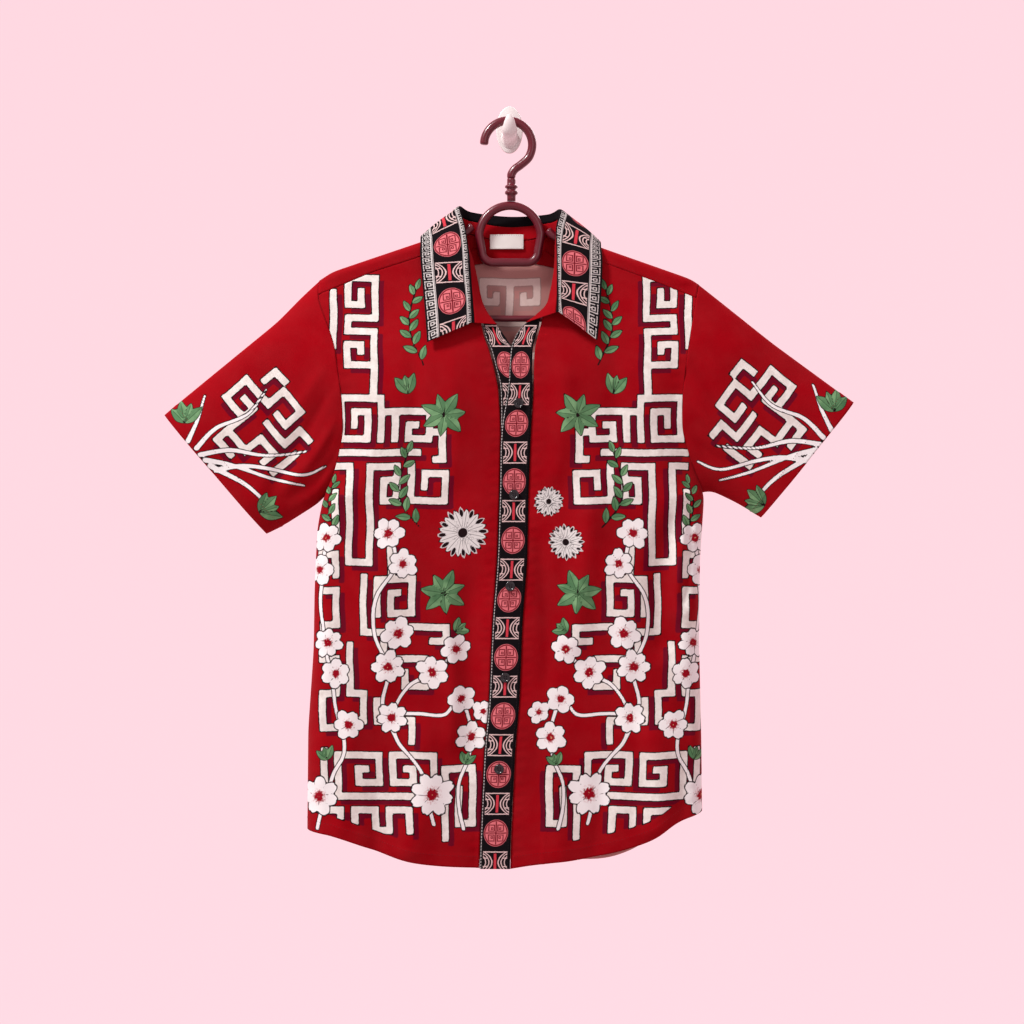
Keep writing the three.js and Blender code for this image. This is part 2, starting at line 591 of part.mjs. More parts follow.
// The D of the hanger: an arch over a straight foot with round corners, as one closed tube.
function hangerRing() {
  const { halfWidth, footHalfWidth, corner, bottom, x } = RING;
  const springZ = RING.top - halfWidth;
  const arch = even(20).map((t) => [
    x - halfWidth * Math.cos(Math.PI * t), springZ + halfWidth * Math.sin(Math.PI * t)]);
  const bend = (out) => even(5).map((t) => [
    x + out * (footHalfWidth - corner + corner * Math.cos(Math.PI * t / 2)),
    bottom + corner * (1 - Math.sin(Math.PI * t / 2))]);
  const path = [...arch, ...bend(1), ...bend(-1).reverse()];
  const sides = 12;
  const rings = path.map(([px, pz], i) => {
    const [ax, az] = path[(i + path.length - 1) % path.length];
    const [bx, bz] = path[(i + 1) % path.length];
    const outward = vector(az - bz, 0, bx - ax).normalize();
    return even(sides - 1).map((_, k) => {
      const angle = (Math.PI * 2 * k) / sides;
      return vector(px, HANGER_Y + (TUBE / 2) * Math.sin(angle), pz)
        .addScaledVector(outward, (TUBE / 2) * Math.cos(angle));
    });
  });
  const triangles = [];
  const at = (r, k) => (r % rings.length) * sides + (k % sides);
  for (let r = 0; r < rings.length; r += 1) {
    for (let k = 0; k < sides; k += 1) {
      triangles.push([at(r, k), at(r + 1, k), at(r + 1, k + 1)],
        [at(r, k), at(r + 1, k + 1), at(r, k + 1)]);
    }
  }
  return closedGeometry(rings.flat(), triangles);
}

const underRidge = (x) => [x, ridgeZ(x) - SHOULDER_ROLL];
const ARM_END = 186;

function hangerArm(hand) {
  const { out } = ARMHOLE[hand];
  const neckZ = ridgeZ(out * 58);
  const start = [[RING.x + out * 41.8, neckZ + 3.6], [out * 48, neckZ - 2.4]];
  return tube([...start, ...[60, 97, 140, ARM_END].map((x) => underRidge(out * x))], TUBE, 16);
}

function hangerBar() {
  const end = (out) => {
    const [, z] = underRidge(out * ARM_END);
    return [[out * (ARM_END + 0.5), z - 0.2], [out * 195, z - 4.5], [out * 198.5, z - 12],
      [out * 194, z - 20], [out * 178, z - 28.5], [out * 150, z - 38]];
  };
  return tube([...end(-1), [-110, -213], [0, -214], [110, -214], ...end(1).reverse()], BAR, 40);
}

function hookPad() {
  const { halfWidth, halfHeight, depth, bevel } = PAD;
  const outline = new THREE.Shape();
  outline.absellipse(0, 0, halfWidth - bevel, halfHeight - bevel, 0, Math.PI * 2);
  const geometry = new THREE.ExtrudeGeometry(outline, {
    depth: depth - 2 * bevel, bevelThickness: bevel, bevelSize: bevel, bevelSegments: 2,
    curveSegments: 18 });
  geometry.rotateX(Math.PI / 2);
  geometry.translate(0, -bevel, 0);
  return geometry;
}

function hookProng() {
  return loft(PRONG.map(({ y, z, halfWidth, halfHeight, tilt }) => even(19).map((t) => {
    const angle = Math.PI * 2 * t * (19 / 20);
    const rise = halfHeight * Math.sin(angle);
    return vector(halfWidth * Math.cos(angle), y + rise * Math.sin(tilt), z + rise * Math.cos(tilt));
  })));
}

// ---- The object ------------------------------------------------------------------------------

const finish = (color, roughness) => ({ color, roughness, metalness: 0 });
const FINISH = {
  redCotton: finish('#a0141c', 0.85),
  blackPrint: finish('#17141a', 0.8),
  label: finish('#f2efea', 0.75),
  button: finish('#101014', 0.35),
  maroonPlastic: finish('#6e1424', 0.3),
  whitePlastic: finish('#ebe6e2', 0.35),
};

const shirt = new THREE.Group();

function add(name, geometry, look) {
  const mesh = new THREE.Mesh(geometry, new THREE.MeshStandardMaterial(look));
  mesh.name = name;
  shirt.add(mesh);
}

for (const hand of ['left', 'right']) {
  add(`front_${hand}`, frontPanel(hand), FINISH.redCotton);
  add(`sleeve_${hand}`, sleeve(hand), FINISH.redCotton);
}
add('back', backPanel(), FINISH.redCotton);
add('yoke', yoke(), FINISH.redCotton);
add('yoke_facing', yokeFacing(), FINISH.redCotton);
add('collar_stand', collarStand(), FINISH.redCotton);
add('collar', collar(), FINISH.blackPrint);
const topEnd = (u) => along([[17.5, -222.5], [30, -213.2], [36, -206.5]], [u])[0];
const underEnd = (u) => along([[-32.5, -190], [-26, -208.6], [-14.5, -223.5]], [u])[0];
add('placket_top', placket(PLACKET_TOP, BAND + SEAM, topEnd), FINISH.blackPrint);
add('placket_under', placket(PLACKET_UNDER, 0, underEnd), FINISH.blackPrint);
add('neck_label', neckLabel(), FINISH.label);
BUTTON.tops.forEach((z, i) => add(`button_${i + 1}`, button(z), FINISH.button));

add('hanger_hook', hangerHook(), FINISH.maroonPlastic);
add('hanger_stem', hangerStem(), FINISH.maroonPlastic);
add('hanger_ring', hangerRing(), FINISH.maroonPlastic);
add('hanger_arm_left', hangerArm('left'), FINISH.maroonPlastic);
add('hanger_arm_right', hangerArm('right'), FINISH.maroonPlastic);
add('hanger_bar', hangerBar(), FINISH.maroonPlastic);
add('wall_hook_pad', hookPad(), FINISH.whitePlastic);
add('wall_hook_prong', hookProng(), FINISH.whitePlastic);

export default shirt;
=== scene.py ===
# %% [markdown]
# # A batik shirt on a clothes hanger and a wall hook
# The shirt is cut and sewn from flat cotton panels, and it hangs, so every panel is one thin sheet
# that bends. Each sheet is computed as a grid of points: where the panel's edges run in the front
# view, and how far the cloth stands from the hanger's plane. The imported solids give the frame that
# each sheet has to fill, so the script loads them first and keeps their box.
# %% Load the frame
import math
import bpy
import numpy as np
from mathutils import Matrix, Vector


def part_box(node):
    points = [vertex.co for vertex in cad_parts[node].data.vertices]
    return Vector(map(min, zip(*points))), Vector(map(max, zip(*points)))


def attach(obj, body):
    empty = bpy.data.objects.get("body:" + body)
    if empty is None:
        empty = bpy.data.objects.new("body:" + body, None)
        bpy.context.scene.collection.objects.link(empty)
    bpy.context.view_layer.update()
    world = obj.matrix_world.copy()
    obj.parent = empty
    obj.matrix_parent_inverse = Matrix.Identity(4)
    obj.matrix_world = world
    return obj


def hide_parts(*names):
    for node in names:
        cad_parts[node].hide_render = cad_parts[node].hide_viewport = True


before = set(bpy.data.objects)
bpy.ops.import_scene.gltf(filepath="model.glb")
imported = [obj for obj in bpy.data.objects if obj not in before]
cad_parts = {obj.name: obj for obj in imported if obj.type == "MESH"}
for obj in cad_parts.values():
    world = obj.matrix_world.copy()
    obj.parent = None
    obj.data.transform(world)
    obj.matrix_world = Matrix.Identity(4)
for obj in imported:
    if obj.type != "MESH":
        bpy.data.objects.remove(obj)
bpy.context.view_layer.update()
MM = 0.001


# %% [markdown]
# ## Lines and tables
# A pattern maker draws a panel with a few points and a curve ruler. The tables below hold such
# points, in millimetres, and `soft_line` is the ruler: it walks the straight line between points
# and blurs it, so that corners become gentle bends while the two ends stay where they are.
# %% Curve helpers
def smooth(value):
    value = np.clip(value, 0, 1)
    return value * value * (3 - 2 * value)


def mix(a, b, t):
    return a + (b - a) * t


def blur(values, spread):
    """values blurred over that many steps, mirrored at both ends so that the ends stay."""
    reach = int(3 * spread)
    weights = np.exp(-0.5 * (np.arange(-reach, reach + 1) / spread) ** 2)
    before = 2 * values[0] - values[reach:0:-1]
    after = 2 * values[-1] - values[-2:-reach - 2:-1]
    padded = np.concatenate([before, values, after])
    return np.convolve(padded, weights / weights.sum(), mode="valid")


def soft_line(points, parts, spread=6.0):
    """Points at the given parts of a line's length, its corners rounded over spread mm."""
    points = np.array(points, float)
    lengths = np.concatenate([[0], np.cumsum(np.hypot(*np.diff(points, axis=0).T[:2]))])
    fine = np.linspace(0, lengths[-1], max(8, int(lengths[-1])))
    reach = min(spread, len(fine) / 8)
    rounded = np.stack([blur(np.interp(fine, lengths, column), reach) for column in points.T], 1)
    at = np.asarray(parts) * lengths[-1]
    return np.stack([np.interp(at, fine, column) for column in rounded.T], 1)


def soft_table(rows, spread=8.0):
    """A function that reads a two-column table (key, value), its corners rounded."""
    rows = np.array(sorted(rows), float)
    fine = np.arange(rows[0, 0], rows[-1, 0] + 0.5, 1.0)
    values = blur(np.interp(fine, rows[:, 0], rows[:, 1]), spread)
    return lambda at: np.interp(at, fine, values)


def through(rows, place):
    """Rows of a table read at a place between rows, on a smooth curve through them all."""
    rows = np.array(rows, float)
    place = np.asarray(place, float)
    i = np.clip(np.floor(place).astype(int), 0, len(rows) - 2)
    t = (place - i)[..., None]
    a, b, c, d = (rows[np.clip(i + k, 0, len(rows) - 1)] for k in (-1, 0, 1, 2))
    return b + 0.5 * t * (c - a + t * (2 * a - 5 * b + 4 * c - d + t * (3 * (b - c) + d - a)))


# %% [markdown]
# ## The hanging form
# The shirt hangs flattened: a round fold over each hanger arm, a flat front and back, and a soft
# turn at each side seam. One function gives the depth of the front or back sheet at any place, so
# panels that are sewn together meet exactly, whichever panel a point belongs to.
# %% Sizes and outlines of the garment, in mm
CLOTH = 0.6            # real cotton, thinner than the solids' walls
SEAM = 0.3
HANGER_Y = -24.0
SHOULDER_ROLL = 8.0
CHEST_SINK = 4.0
HALF = {"front": 30.0, "back": 19.0}
RUN = {"front": 170.0, "back": 130.0}
OUT = {"front": -1.0, "back": 1.0}
SIDE_ROLL = 22.0
ARMHOLE_BLEND = 40.0
ARMHOLE_HALF = 19.0
CUFF_HALF = 17.0
CUFF_Y = -30.0

ridge = soft_table([
    (-211, -172.5), (-197.5, -163), (-97, -129), (-58, -113.5),
    (58, -118), (99.5, -135), (202, -171), (210, -176.5)], 5)
EDGE_X = {
    "left": soft_table([
        (-172.5, -211), (-190, -213), (-243, -193), (-308, -184), (-345, -183), (-389, -194),
        (-411, -206), (-447, -213), (-515, -216), (-581, -217), (-669, -223), (-779, -224)]),
    "right": soft_table([
        (-176.5, 210), (-199, 205), (-253, 196), (-301, 190), (-341, 190), (-388, 205),
        (-407, 216), (-482, 211), (-570, 210), (-680, 212.5), (-759, 213.4)]),
}
ARMHOLE = {"left": (-172.5, -411.0), "right": (-176.5, -407.0)}
HEM_Z = {"left": -779.0, "right": -759.0}
OUTWARD = {"left": -1.0, "right": 1.0}

FOLD_DEPTH = 1.55
# Folds and creases: side, top x and z, bottom x and z, width, lift (under 0 is a trough).
FOLDS = [
    ("front", -34, -470, -48, -730, 17, -5), ("front", -150, -440, -128, -640, 20, 4),
    ("front", 82, -380, 78, -600, 16, 4.5), ("front", 178, -410, 166, -600, 16, -6),
    ("front", 150, -640, 166, -800, 18, 6), ("front", -95, -640, -110, -830, 22, 5),
    ("back", -70, -220, -96, -560, 24, 4), ("back", 64, -230, 92, -620, 26, 4),
    ("back", -10, -430, 6, -830, 28, -5), ("back", 140, -520, 150, -830, 22, -4),
    ("front", 200, -398, 190, -545, 6, -3.4), ("front", 190, -420, 184, -560, 7, 2.4),
    ("front", -176, -402, -120, -500, 8, -1.6), ("front", -186, -420, -150, -560, 7, 1.5),
    ("front", -58, -250, -70, -420, 13, 1.8), ("front", -112, -230, -92, -420, 11, -1.5),
    ("front", 62, -250, 50, -410, 12, 1.7), ("front", 118, -225, 104, -400, 12, -1.5),
    ("front", 36, -430, 40, -640, 9, -1.7), ("front", 120, -500, 132, -700, 10, 1.5),
    ("front", -70, -520, -62, -700, 9, 1.8), ("front", -176, -600, -182, -800, 10, 1.7),
    ("front", 188, -600, 194, -780, 9, -2.0), ("front", 100, -690, 92, -830, 12, -2.4),
    ("front", -150, -690, -140, -830, 11, -2.0), ("front", 46, -660, 60, -830, 12, 2.0),
    ("back", -176, -404, -110, -520, 9, -2.0), ("back", 176, -404, 116, -530, 9, -2.0),
    ("back", -30, -200, -42, -420, 14, -2.0), ("back", 30, -200, 40, -400, 13, -1.8),
    ("back", -140, -560, -150, -820, 15, 2.4), ("back", 60, -640, 66, -830, 16, 2.6),
    ("back", -70, -600, -60, -830, 14, -2.2), ("back", 0, -300, 10, -460, 16, 1.8),
]


def fall(x, z):
    """How far a point lies below the ridge of the shoulders."""
    return np.maximum(0, ridge(x) - z)


def middle_y(x, z):
    return HANGER_Y - CHEST_SINK * smooth(fall(x, z) / 150)


def tube_shape(c):
    return np.sqrt(np.maximum(0, 1 - np.abs(2 * c - 1) ** 2.5))


def fold_lift(side, x, z):
    lift = np.zeros_like(x)
    for where, top_x, top_z, bottom_x, bottom_z, width, height in FOLDS:
        if where != side:
            continue
        t = (z - top_z) / (bottom_z - top_z)
        sway = 0.35 * width * np.sin(5 * t + top_x)
        away = (x - mix(top_x, bottom_x, t) - sway) / width
        ends = smooth(t * 4) * smooth((1 - t) * 6) * ((t > 0) & (t < 1))
        lift += height * np.exp(-away * away) * ends
    return FOLD_DEPTH * lift


def ripple(x, z):
    """Small unevenness that no ironed cotton is without."""
    return (0.35 * np.sin(0.045 * x + 0.021 * z) * np.sin(0.031 * z - 0.013 * x + 1.2)
            + 0.22 * np.sin(0.083 * x - 0.034 * z + 0.6) * np.sin(0.062 * z + 0.4))


def armhole_open(hand, z):
    top, bottom = ARMHOLE[hand]
    return tube_shape(np.clip((top - z) / (top - bottom), 0, 1))


def cloth(side, x, z, extra=0.0):
    """Points of the front or back sheet at x, z, in mm; extra lifts them off the body."""
    x, z = np.broadcast_arrays(np.asarray(x, float), np.asarray(z, float))
    opened = np.where(x < 0, armhole_open("left", z), armhole_open("right", z))
    edge_x = np.where(x < 0, EDGE_X["left"](z), EDGE_X["right"](z))
    inward = np.maximum(0, np.abs(edge_x - x) - SEAM / 2)
    fallen = fall(x, z)
    roll = np.sqrt(1 - (1 - np.clip(fallen / SHOULDER_ROLL, 0, 1)) ** 2)
    full = SHOULDER_ROLL * roll + (HALF[side] - SHOULDER_ROLL) * smooth(fallen / RUN[side])
    turn = mix(np.sqrt(1 - (1 - np.clip(inward / SIDE_ROLL, 0, 1)) ** 2),
               smooth(inward / ARMHOLE_BLEND), opened)
    edge = np.maximum(SEAM, ARMHOLE_HALF * opened)
    waves = fold_lift(side, x, z) + ripple(x, z) * smooth(fallen / 60)
    depth = mix(edge, full + waves, turn) + extra
    return np.stack([x, middle_y(x, z) + OUT[side] * depth, z], -1)


# %% [markdown]
# ## From points to cloth
# A real sheet has two faces, and the batik's wrong side is paler than its face, so each panel is
# a closed thin wall: a face layer, a back layer and a narrow rim. A Solidify modifier would do it
# too, but working it out here gives each layer its own material and keeps the measured fields,
# which are stored on the points as plain numbers for the shaders.
# %% Wall builder
def grid_normals(points, closed):
    if closed:
        across = np.roll(points, -1, 1) - np.roll(points, 1, 1)
    else:
        across = np.gradient(points, axis=1)
    normals = np.cross(across, np.gradient(points, axis=0))
    length = np.linalg.norm(normals, axis=-1, keepdims=True)
    return normals / np.maximum(length, 1e-9)


def new_object(name, vertices, faces, materials=(), slots=None, fields=None):
    mesh = bpy.data.meshes.new(name)
    mesh.from_pydata((np.asarray(vertices) * MM).tolist(), [], faces)
    for field, values in (fields or {}).items():
        mesh.attributes.new(field, "FLOAT", "POINT").data.foreach_set("value", values)
    for material in materials:
        mesh.materials.append(material)
    if slots is not None:
        mesh.polygons.foreach_set("material_index", slots)
    mesh.polygons.foreach_set("use_smooth", [True] * len(mesh.polygons))
    mesh.update()
    piece = bpy.data.objects.new(name, mesh)
    bpy.context.scene.collection.objects.link(piece)
    return piece


def wall(name, points, outward, materials, fields=None, thickness=CLOTH, closed=False):
    """A closed thin wall on a grid of points; outward is a vector, or one for each point."""
    normals = grid_normals(points, closed)
    if np.sum(normals * outward) < 0:
        normals = -normals
        points, normals = points[:, ::-1], normals[:, ::-1]
        fields = {key: value[:, ::-1] for key, value in (fields or {}).items()}
    rows, columns = points.shape[:2]
    layers = [points + normals * thickness / 2, points - normals * thickness / 2]
    vertices = np.concatenate([layer.reshape(-1, 3) for layer in layers])
    index = np.arange(rows * columns).reshape(rows, columns)
    right = np.roll(index, -1, 1) if closed else index[:, 1:]
    left = index if closed else index[:, :-1]
    quads = np.stack([left[:-1], left[1:], right[1:], right[:-1]], -1).reshape(-1, 4)
    low = rows * columns
    rims = []
    for edge, turned in ((0, False), (rows - 1, True)):
        a, b = left[edge], right[edge]
        a, b = (b, a) if turned else (a, b)
        rims.append(np.stack([a, b, b + low, a + low], -1))
    if not closed:
        for edge, turned in ((0, True), (columns - 1, False)):
            a, b = index[:-1, edge], index[1:, edge]
            a, b = (b, a) if turned else (a, b)
            rims.append(np.stack([a, b, b + low, a + low], -1))
    rims = np.concatenate(rims)
    faces = np.concatenate([quads, quads[:, ::-1] + low, rims])
    slots = np.concatenate([np.zeros(len(quads)), np.full(len(quads), len(materials) - 1),
                            np.zeros(len(rims))]).astype(int)
    both = {key: np.tile(np.asarray(value, float).ravel(), 2)
            for key, value in (fields or {}).items()}
    piece = new_object(name, vertices, faces.tolist(), materials, slots, both)
    print(f"{name}: {2 * len(faces)} triangles")
    return piece


def outward_check(piece):
    """Turns a closed mesh's faces out if they point in."""
    mesh = piece.data
    corners = np.empty(len(mesh.vertices) * 3)
    mesh.vertices.foreach_get("co", corners)
    corners = corners.reshape(-1, 3)
    mesh.calc_loop_triangles()
    triangles = np.empty(len(mesh.loop_triangles) * 3, int)
    mesh.loop_triangles.foreach_get("vertices", triangles)
    a, b, c = (corners[triangles.reshape(-1, 3)[:, k]] for k in range(3))
    if np.sum(a * np.cross(b, c)) < 0:
        mesh.flip_normals()
    return piece


def body_piece(piece, slot, *nodes):
    """The piece hangs with the one body and stands for its solids; slot is not used."""
    outward_check(piece)
    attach(piece, "root")
    if nodes:
        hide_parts(*nodes)
    return piece


def flat_patch(top, bottom, left, right, across, down):
    """A grid between four flat edges, from its top row to its bottom row."""
    u, v = across[None, :, None], down[:, None, None]
    corners = mix(mix(left[0], right[0], u), mix(left[-1], right[-1], u), v)
    return mix(left[:, None], right[:, None], u) + mix(top[None], bottom[None], v) - corners


# %% [markdown]
# ## Shader sums written as plain expressions
# A material is a small sum over the surface: distances, masks and colours. `Value` wraps one
# output socket, and its operators add the Math nodes, so a mask reads like arithmetic. Colours
# are mixed with `blend`, because a Math node would turn them grey.
# %% Socket class
class Value:
    """One output socket of a material's node tree."""

    def __init__(self, tree, socket):
        self.tree, self.socket = tree, socket

    def node(self, kind, settings=None, inputs=None, output=0):
        made = self.tree.nodes.new(kind)
        for key, setting in (settings or {}).items():
            if key == "stops":
                ramp = made.color_ramp.elements
                while len(ramp) < len(setting):
                    ramp.new(0.5)
                for stop, (place, colour) in zip(ramp, setting):
                    stop.position, stop.color = place, (*colour, 1)
            else:
                setattr(made, key, setting)
        for key, given in (inputs or {}).items():
            if isinstance(given, Value):
                self.tree.links.new(given.socket, made.inputs[key])
            else:
                made.inputs[key].default_value = given
        return Value(self.tree, made.outputs[output])

    def math(self, operation, *values):
        return self.node("ShaderNodeMath", {"operation": operation}, dict(enumerate(values)))

    def __add__(self, other): return self.math("ADD", self, other)
    def __radd__(self, other): return self.math("ADD", other, self)
    def __sub__(self, other): return self.math("SUBTRACT", self, other)
    def __rsub__(self, other): return self.math("SUBTRACT", other, self)
    def __mul__(self, other): return self.math("MULTIPLY", self, other)
    def __rmul__(self, other): return self.math("MULTIPLY", other, self)
    def __truediv__(self, other): return self.math("DIVIDE", self, other)
    def __pow__(self, other): return self.math("POWER", self, other)
    def __neg__(self): return self.math("MULTIPLY", self, -1.0)
    def __abs__(self): return self.math("ABSOLUTE", self)
    def __mod__(self, other): return self.math("FLOORED_MODULO", self, other)
    def low(self, other): return self.math("MINIMUM", self, other)
    def high(self, other): return self.math("MAXIMUM", self, other)
    def root(self): return self.math("SQRT", self)
    def sine(self): return self.math("SINE", self)

    def clip(self):
        return self.node("ShaderNodeClamp", None, {0: self})

    def inside(self, softness=0.45):
        """1 where the distance is under nothing, 0 outside, with a soft edge as wide as given."""
        return (0.5 - self / softness).clip()

    def blend(self, base, top):
        """base where this mask is 0 and top where it is 1."""
        base = base if isinstance(base, Value) else (*base, 1)
        top = top if isinstance(top, Value) else (*top, 1)
        return self.node("ShaderNodeMix", {"data_type": "RGBA"}, {0: self, 6: base, 7: top}, 2)


def srgb(red, green, blue):
    """A colour named as it is on a screen, 0 to 255, as the linear numbers a shader takes."""
    return tuple((c / 255 / 12.92) if c < 10.3 else ((c / 255 + 0.055) / 1.055) ** 2.4
                 for c in (red, green, blue))


def new_material(name, roughness, sheen=0.0, coat=0.0):
    material = bpy.data.materials.new(name)
    material.use_nodes = True
    shader = material.node_tree.nodes["Principled BSDF"]
    shader.inputs["Roughness"].default_value = roughness
    shader.inputs["Sheen Weight"].default_value = sheen
    shader.inputs["Sheen Roughness"].default_value = 0.5
    shader.inputs["Coat Weight"].default_value = coat
    shader.inputs["Specular IOR Level"].default_value = 0.05 if sheen else 0.5
    tree = material.node_tree
    place = tree.nodes.new("ShaderNodeTexCoord")
    return material, shader, Value(tree, place.outputs["Object"])


def field(place, name):
    """A number stored on the mesh's points, in mm."""
    return place.node("ShaderNodeAttribute", {"attribute_name": name}, None, 2)


def connect(place, value, socket):
    place.tree.links.new(value.socket, socket)


def noise(place, scale, detail=2.0, roughness=0.5):
    return place.node("ShaderNodeTexNoise", None,
                      {"Vector": place, "Scale": scale, "Detail": detail, "Roughness": roughness})


def weave(place, shader, pitch, strength, extra=None):
    """Plain weave: threads over and under in two directions, as a bump of a given pitch in m."""
    parts = place.node("ShaderNodeSeparateXYZ", None, {0: place})
    across = Value(place.tree, parts.socket.node.outputs["X"])
    up = Value(place.tree, parts.socket.node.outputs["Z"])
    turn = 2 * math.pi / pitch
    height = (across * turn).sine() * (up * turn).sine()
    height = height * 0.5 + noise(place, 900.0, 1.0) * 1.2
    if extra is not None:
        height = height + extra
    bump = place.node("ShaderNodeBump", None,
                      {"Strength": strength, "Distance": 0.0003, "Height": height})
    connect(place, bump, shader.inputs["Normal"])


print("helpers ready")


# %% [markdown]
# ## Drawing for a wax print
# Batik lines are drawn with wax, so the pattern is made of strokes: square frets, curved stems,
# petals and leaves. Each stroke list below is laid out on one front, `reach` counting outwards
# from the placket, and the other front carries it mirrored. A picture would need an image file;
# instead every point of the cloth stores how far it lies from each kind of stroke, in mm, and
# the shader paints where that distance is small enough.
# %% Strokes
FRET_STEP = 7.5
FRET_HALF = 3.7
MIDDLE_X = 1.5

# Frets: start reach, start z, moves in steps (O outwards, I inwards, U up, D down).
FRONT_FRETS = [
    (150, -170, "O4 D4 I2 U2"), (150, -170, "D6 O4 D2 I4 D5 O4 U3 I2 D1"), (150, -267, "D5"),
    (196, -186, "D8"),
    (142, -349, "U6 O6 D6 I4 U4 O2 D2"), (127, -349, "U4 I5 D4 O3 U2 I1"), (142, -319, "I2"),
    (89.5, -341, "I2 D4 O1"), (192, -364, "I12"),
    (192, -379, "I2 D14 I3 U14"), (154.5, -379, "I4 D5 O2 U3 I1"),
    (109.5, -379, "D5 I5 U4 O3 D2"), (192, -408, "D6 O2 D3 I2 D3"),
    (146, -540, "U5 I5 D5 O3 U3 I1"), (131, -502, "U5"), (116, -502, "U3"),
    (161, -500, "D8 I3 D4 I6 D4 O3 U2"), (108.5, -555, "I5 D2 O2"),
    (206, -515, "I2 D5 O2 D5 I2 D5 O2 D5 I2"), (176, -575, "D7 I2 D4 O3"),
    (146, -635, "D3 I5 D3"),
    (189, -740, "U6 I6 D4 O3 U2 I1"), (84, -740, "U6 O6 D4 I3 U2 O1"), (189, -740, "I14"),
    (208, -755, "I3 D3 I2 U3 I3 D3 I2 U3 I3 D3"), (72, -785, "U10 I4 D8 O2 U5"),
    (204, -690, "D7"),
]
BACK_FRETS = [
    (0, -172, "O4 D3 I2 U1"), (0, -172, "I4 D3 O2 U1"), (0, -172, "D6"),
    (0, -217, "O5 D5 I3 U3 O1"), (0, -217, "I5 D5 O3 U3 I1"), (0, -280, "D9"),
    (0, -280, "O4 D5 I2 U3"), (0, -280, "I4 D5 O2 U3"), (0, -347, "O6"), (0, -347, "I6"),
    (0, -560, "O6 D5 I4 U3 O2"), (0, -560, "I6 D5 O4 U3 I2"), (0, -612, "D10"),
    (0, -687, "O5 D5 I3 U3"), (0, -687, "I5 D5 O3 U3"), (0, -740, "D4"),
]
# On a sleeve the frets follow the cuff: distance above it, distance below the shoulder fold.
SLEEVE_FRETS = [
    (95, -30, "I4 D4 O2 U2"), (65, -60, "I3 D4 O3 D3 I2"), (95, -30, "D5 O3 D4 I3 U2"),
    (80, -82, "D4 O3 D2"), (42.5, -60, "I2 D3"), (110, -45, "O2 D2"), (50, -128, "O4"),
]

# Blossoms: reach, z, petal length, number of petals, turn.
FRONT_BLOSSOMS = [
    (202, -457, 17, 6, 0.2), (210, -492, 17, 5, 0.9), (134, -452, 18, 6, 0.5),
    (118, -486, 17, 6, 0.1), (200, -572, 17, 7, 0.4), (124, -562, 19, 6, 0.8),
    (60, -579, 17, 6, 0.3), (134, -598, 19, 7, 0.0), (192, -606, 17, 6, 0.6),
    (86, -604, 19, 6, 0.9), (54, -634, 16, 5, 0.2), (178, -662, 17, 6, 0.5),
    (130, -654, 18, 7, 0.7), (44, -676, 18, 6, 0.1), (210, -740, 22, 7, 0.4),
    (86, -737, 25, 8, 0.3), (30, -648, 13, 5, 0.5),
]
BACK_BLOSSOMS = [(0, -475, 25, 8, 0.1), (34, -500, 17, 6, 0.4), (-34, -500, 17, 6, 0.9),
                 (20, -640, 18, 7, 0.3), (-22, -652, 17, 6, 0.6)]
# Stems: points on a smooth white line, as reach and z.
FRONT_STEMS = [
    [(84, -770), (98, -712), (124, -680), (128, -650), (112, -620), (84, -604), (60, -582)],
    [(124, -680), (140, -640), (134, -598), (150, -560), (146, -520), (126, -486), (132, -452)],
    [(212, -775), (196, -720), (182, -690), (192, -640), (198, -600), (208, -540), (206, -490),
     (200, -458)],
    [(128, -650), (98, -650), (72, -650), (54, -634), (42, -676)],
    [(52, -776), (58, -730), (46, -700), (44, -676)],
]
# Leafy sprigs: stem points, then the leaves' length.
FRONT_SPRIGS = [
    ([(96, -268), (108, -240), (112, -214), (104, -184)], 18),
    ([(100, -446), (118, -424), (122, -396), (112, -364)], 18),
    ([(194, -450), (200, -424), (196, -398)], 15),
]
# Leaf clusters: reach, z, leaf length, count, first turn, spread in turns.
FRONT_CLUSTERS = [
    (73, -322, 27, 7, 0.06, 1.0), (73, -517, 27, 7, 0.02, 1.0), (112, -300, 24, 3, 0.14, 0.22),
    (62, -560, 17, 3, 0.3, 0.3), (50, -706, 16, 3, 0.2, 0.3), (200, -700, 17, 3, 0.1, 0.3),
]
SLEEVE_CLUSTERS = [(12, -22, 26, 4, 0.0, 0.35), (10, -150, 26, 4, 0.85, 0.3)]
SLEEVE_STEMS = [
    [(2, -60), (30, -78), (56, -108), (92, -134)], [(2, -68), (24, -96), (44, -132), (66, -160)],
    [(2, -76), (16, -110), (22, -146), (24, -168)], [(4, -52), (34, -50), (70, -60), (104, -54)],
    [(4, -84), (34, -104), (70, -148), (98, -160)], [(2, -40), (24, -30), (48, -14)],
]
# Asters, one large on one front and two small ones on the other: reach, z, ray length, turn.
FRONT_ASTERS = {"left": [(53, -452, 27, 0.03)], "right": [(41, -418, 16, 0.0), (60, -462, 19, 0.05)]}
ASTER_RAYS = 12


def square_distance(across, up, a, b):
    """Distance with square corners from the stroke a to b, which runs along one axis."""
    low_x, high_x = min(a[0], b[0]), max(a[0], b[0])
    low_z, high_z = min(a[1], b[1]), max(a[1], b[1])
    off_x = np.maximum(np.maximum(low_x - across, across - high_x), 0)
    off_z = np.maximum(np.maximum(low_z - up, up - high_z), 0)
    return np.maximum(off_x, off_z)


def fret_distance(across, up, frets):
    away = np.full(np.shape(across), 60.0)
    moves = {"O": (1, 0), "I": (-1, 0), "U": (0, 1), "D": (0, -1)}
    for x, z, path in frets:
        for move in path.split():
            dx, dz = moves[move[0]]
            reach = int(move[1:]) * FRET_STEP
            end = (x + dx * reach, z + dz * reach)
            away = np.minimum(away, square_distance(across, up, (x, z), end))
            x, z = end
    return away


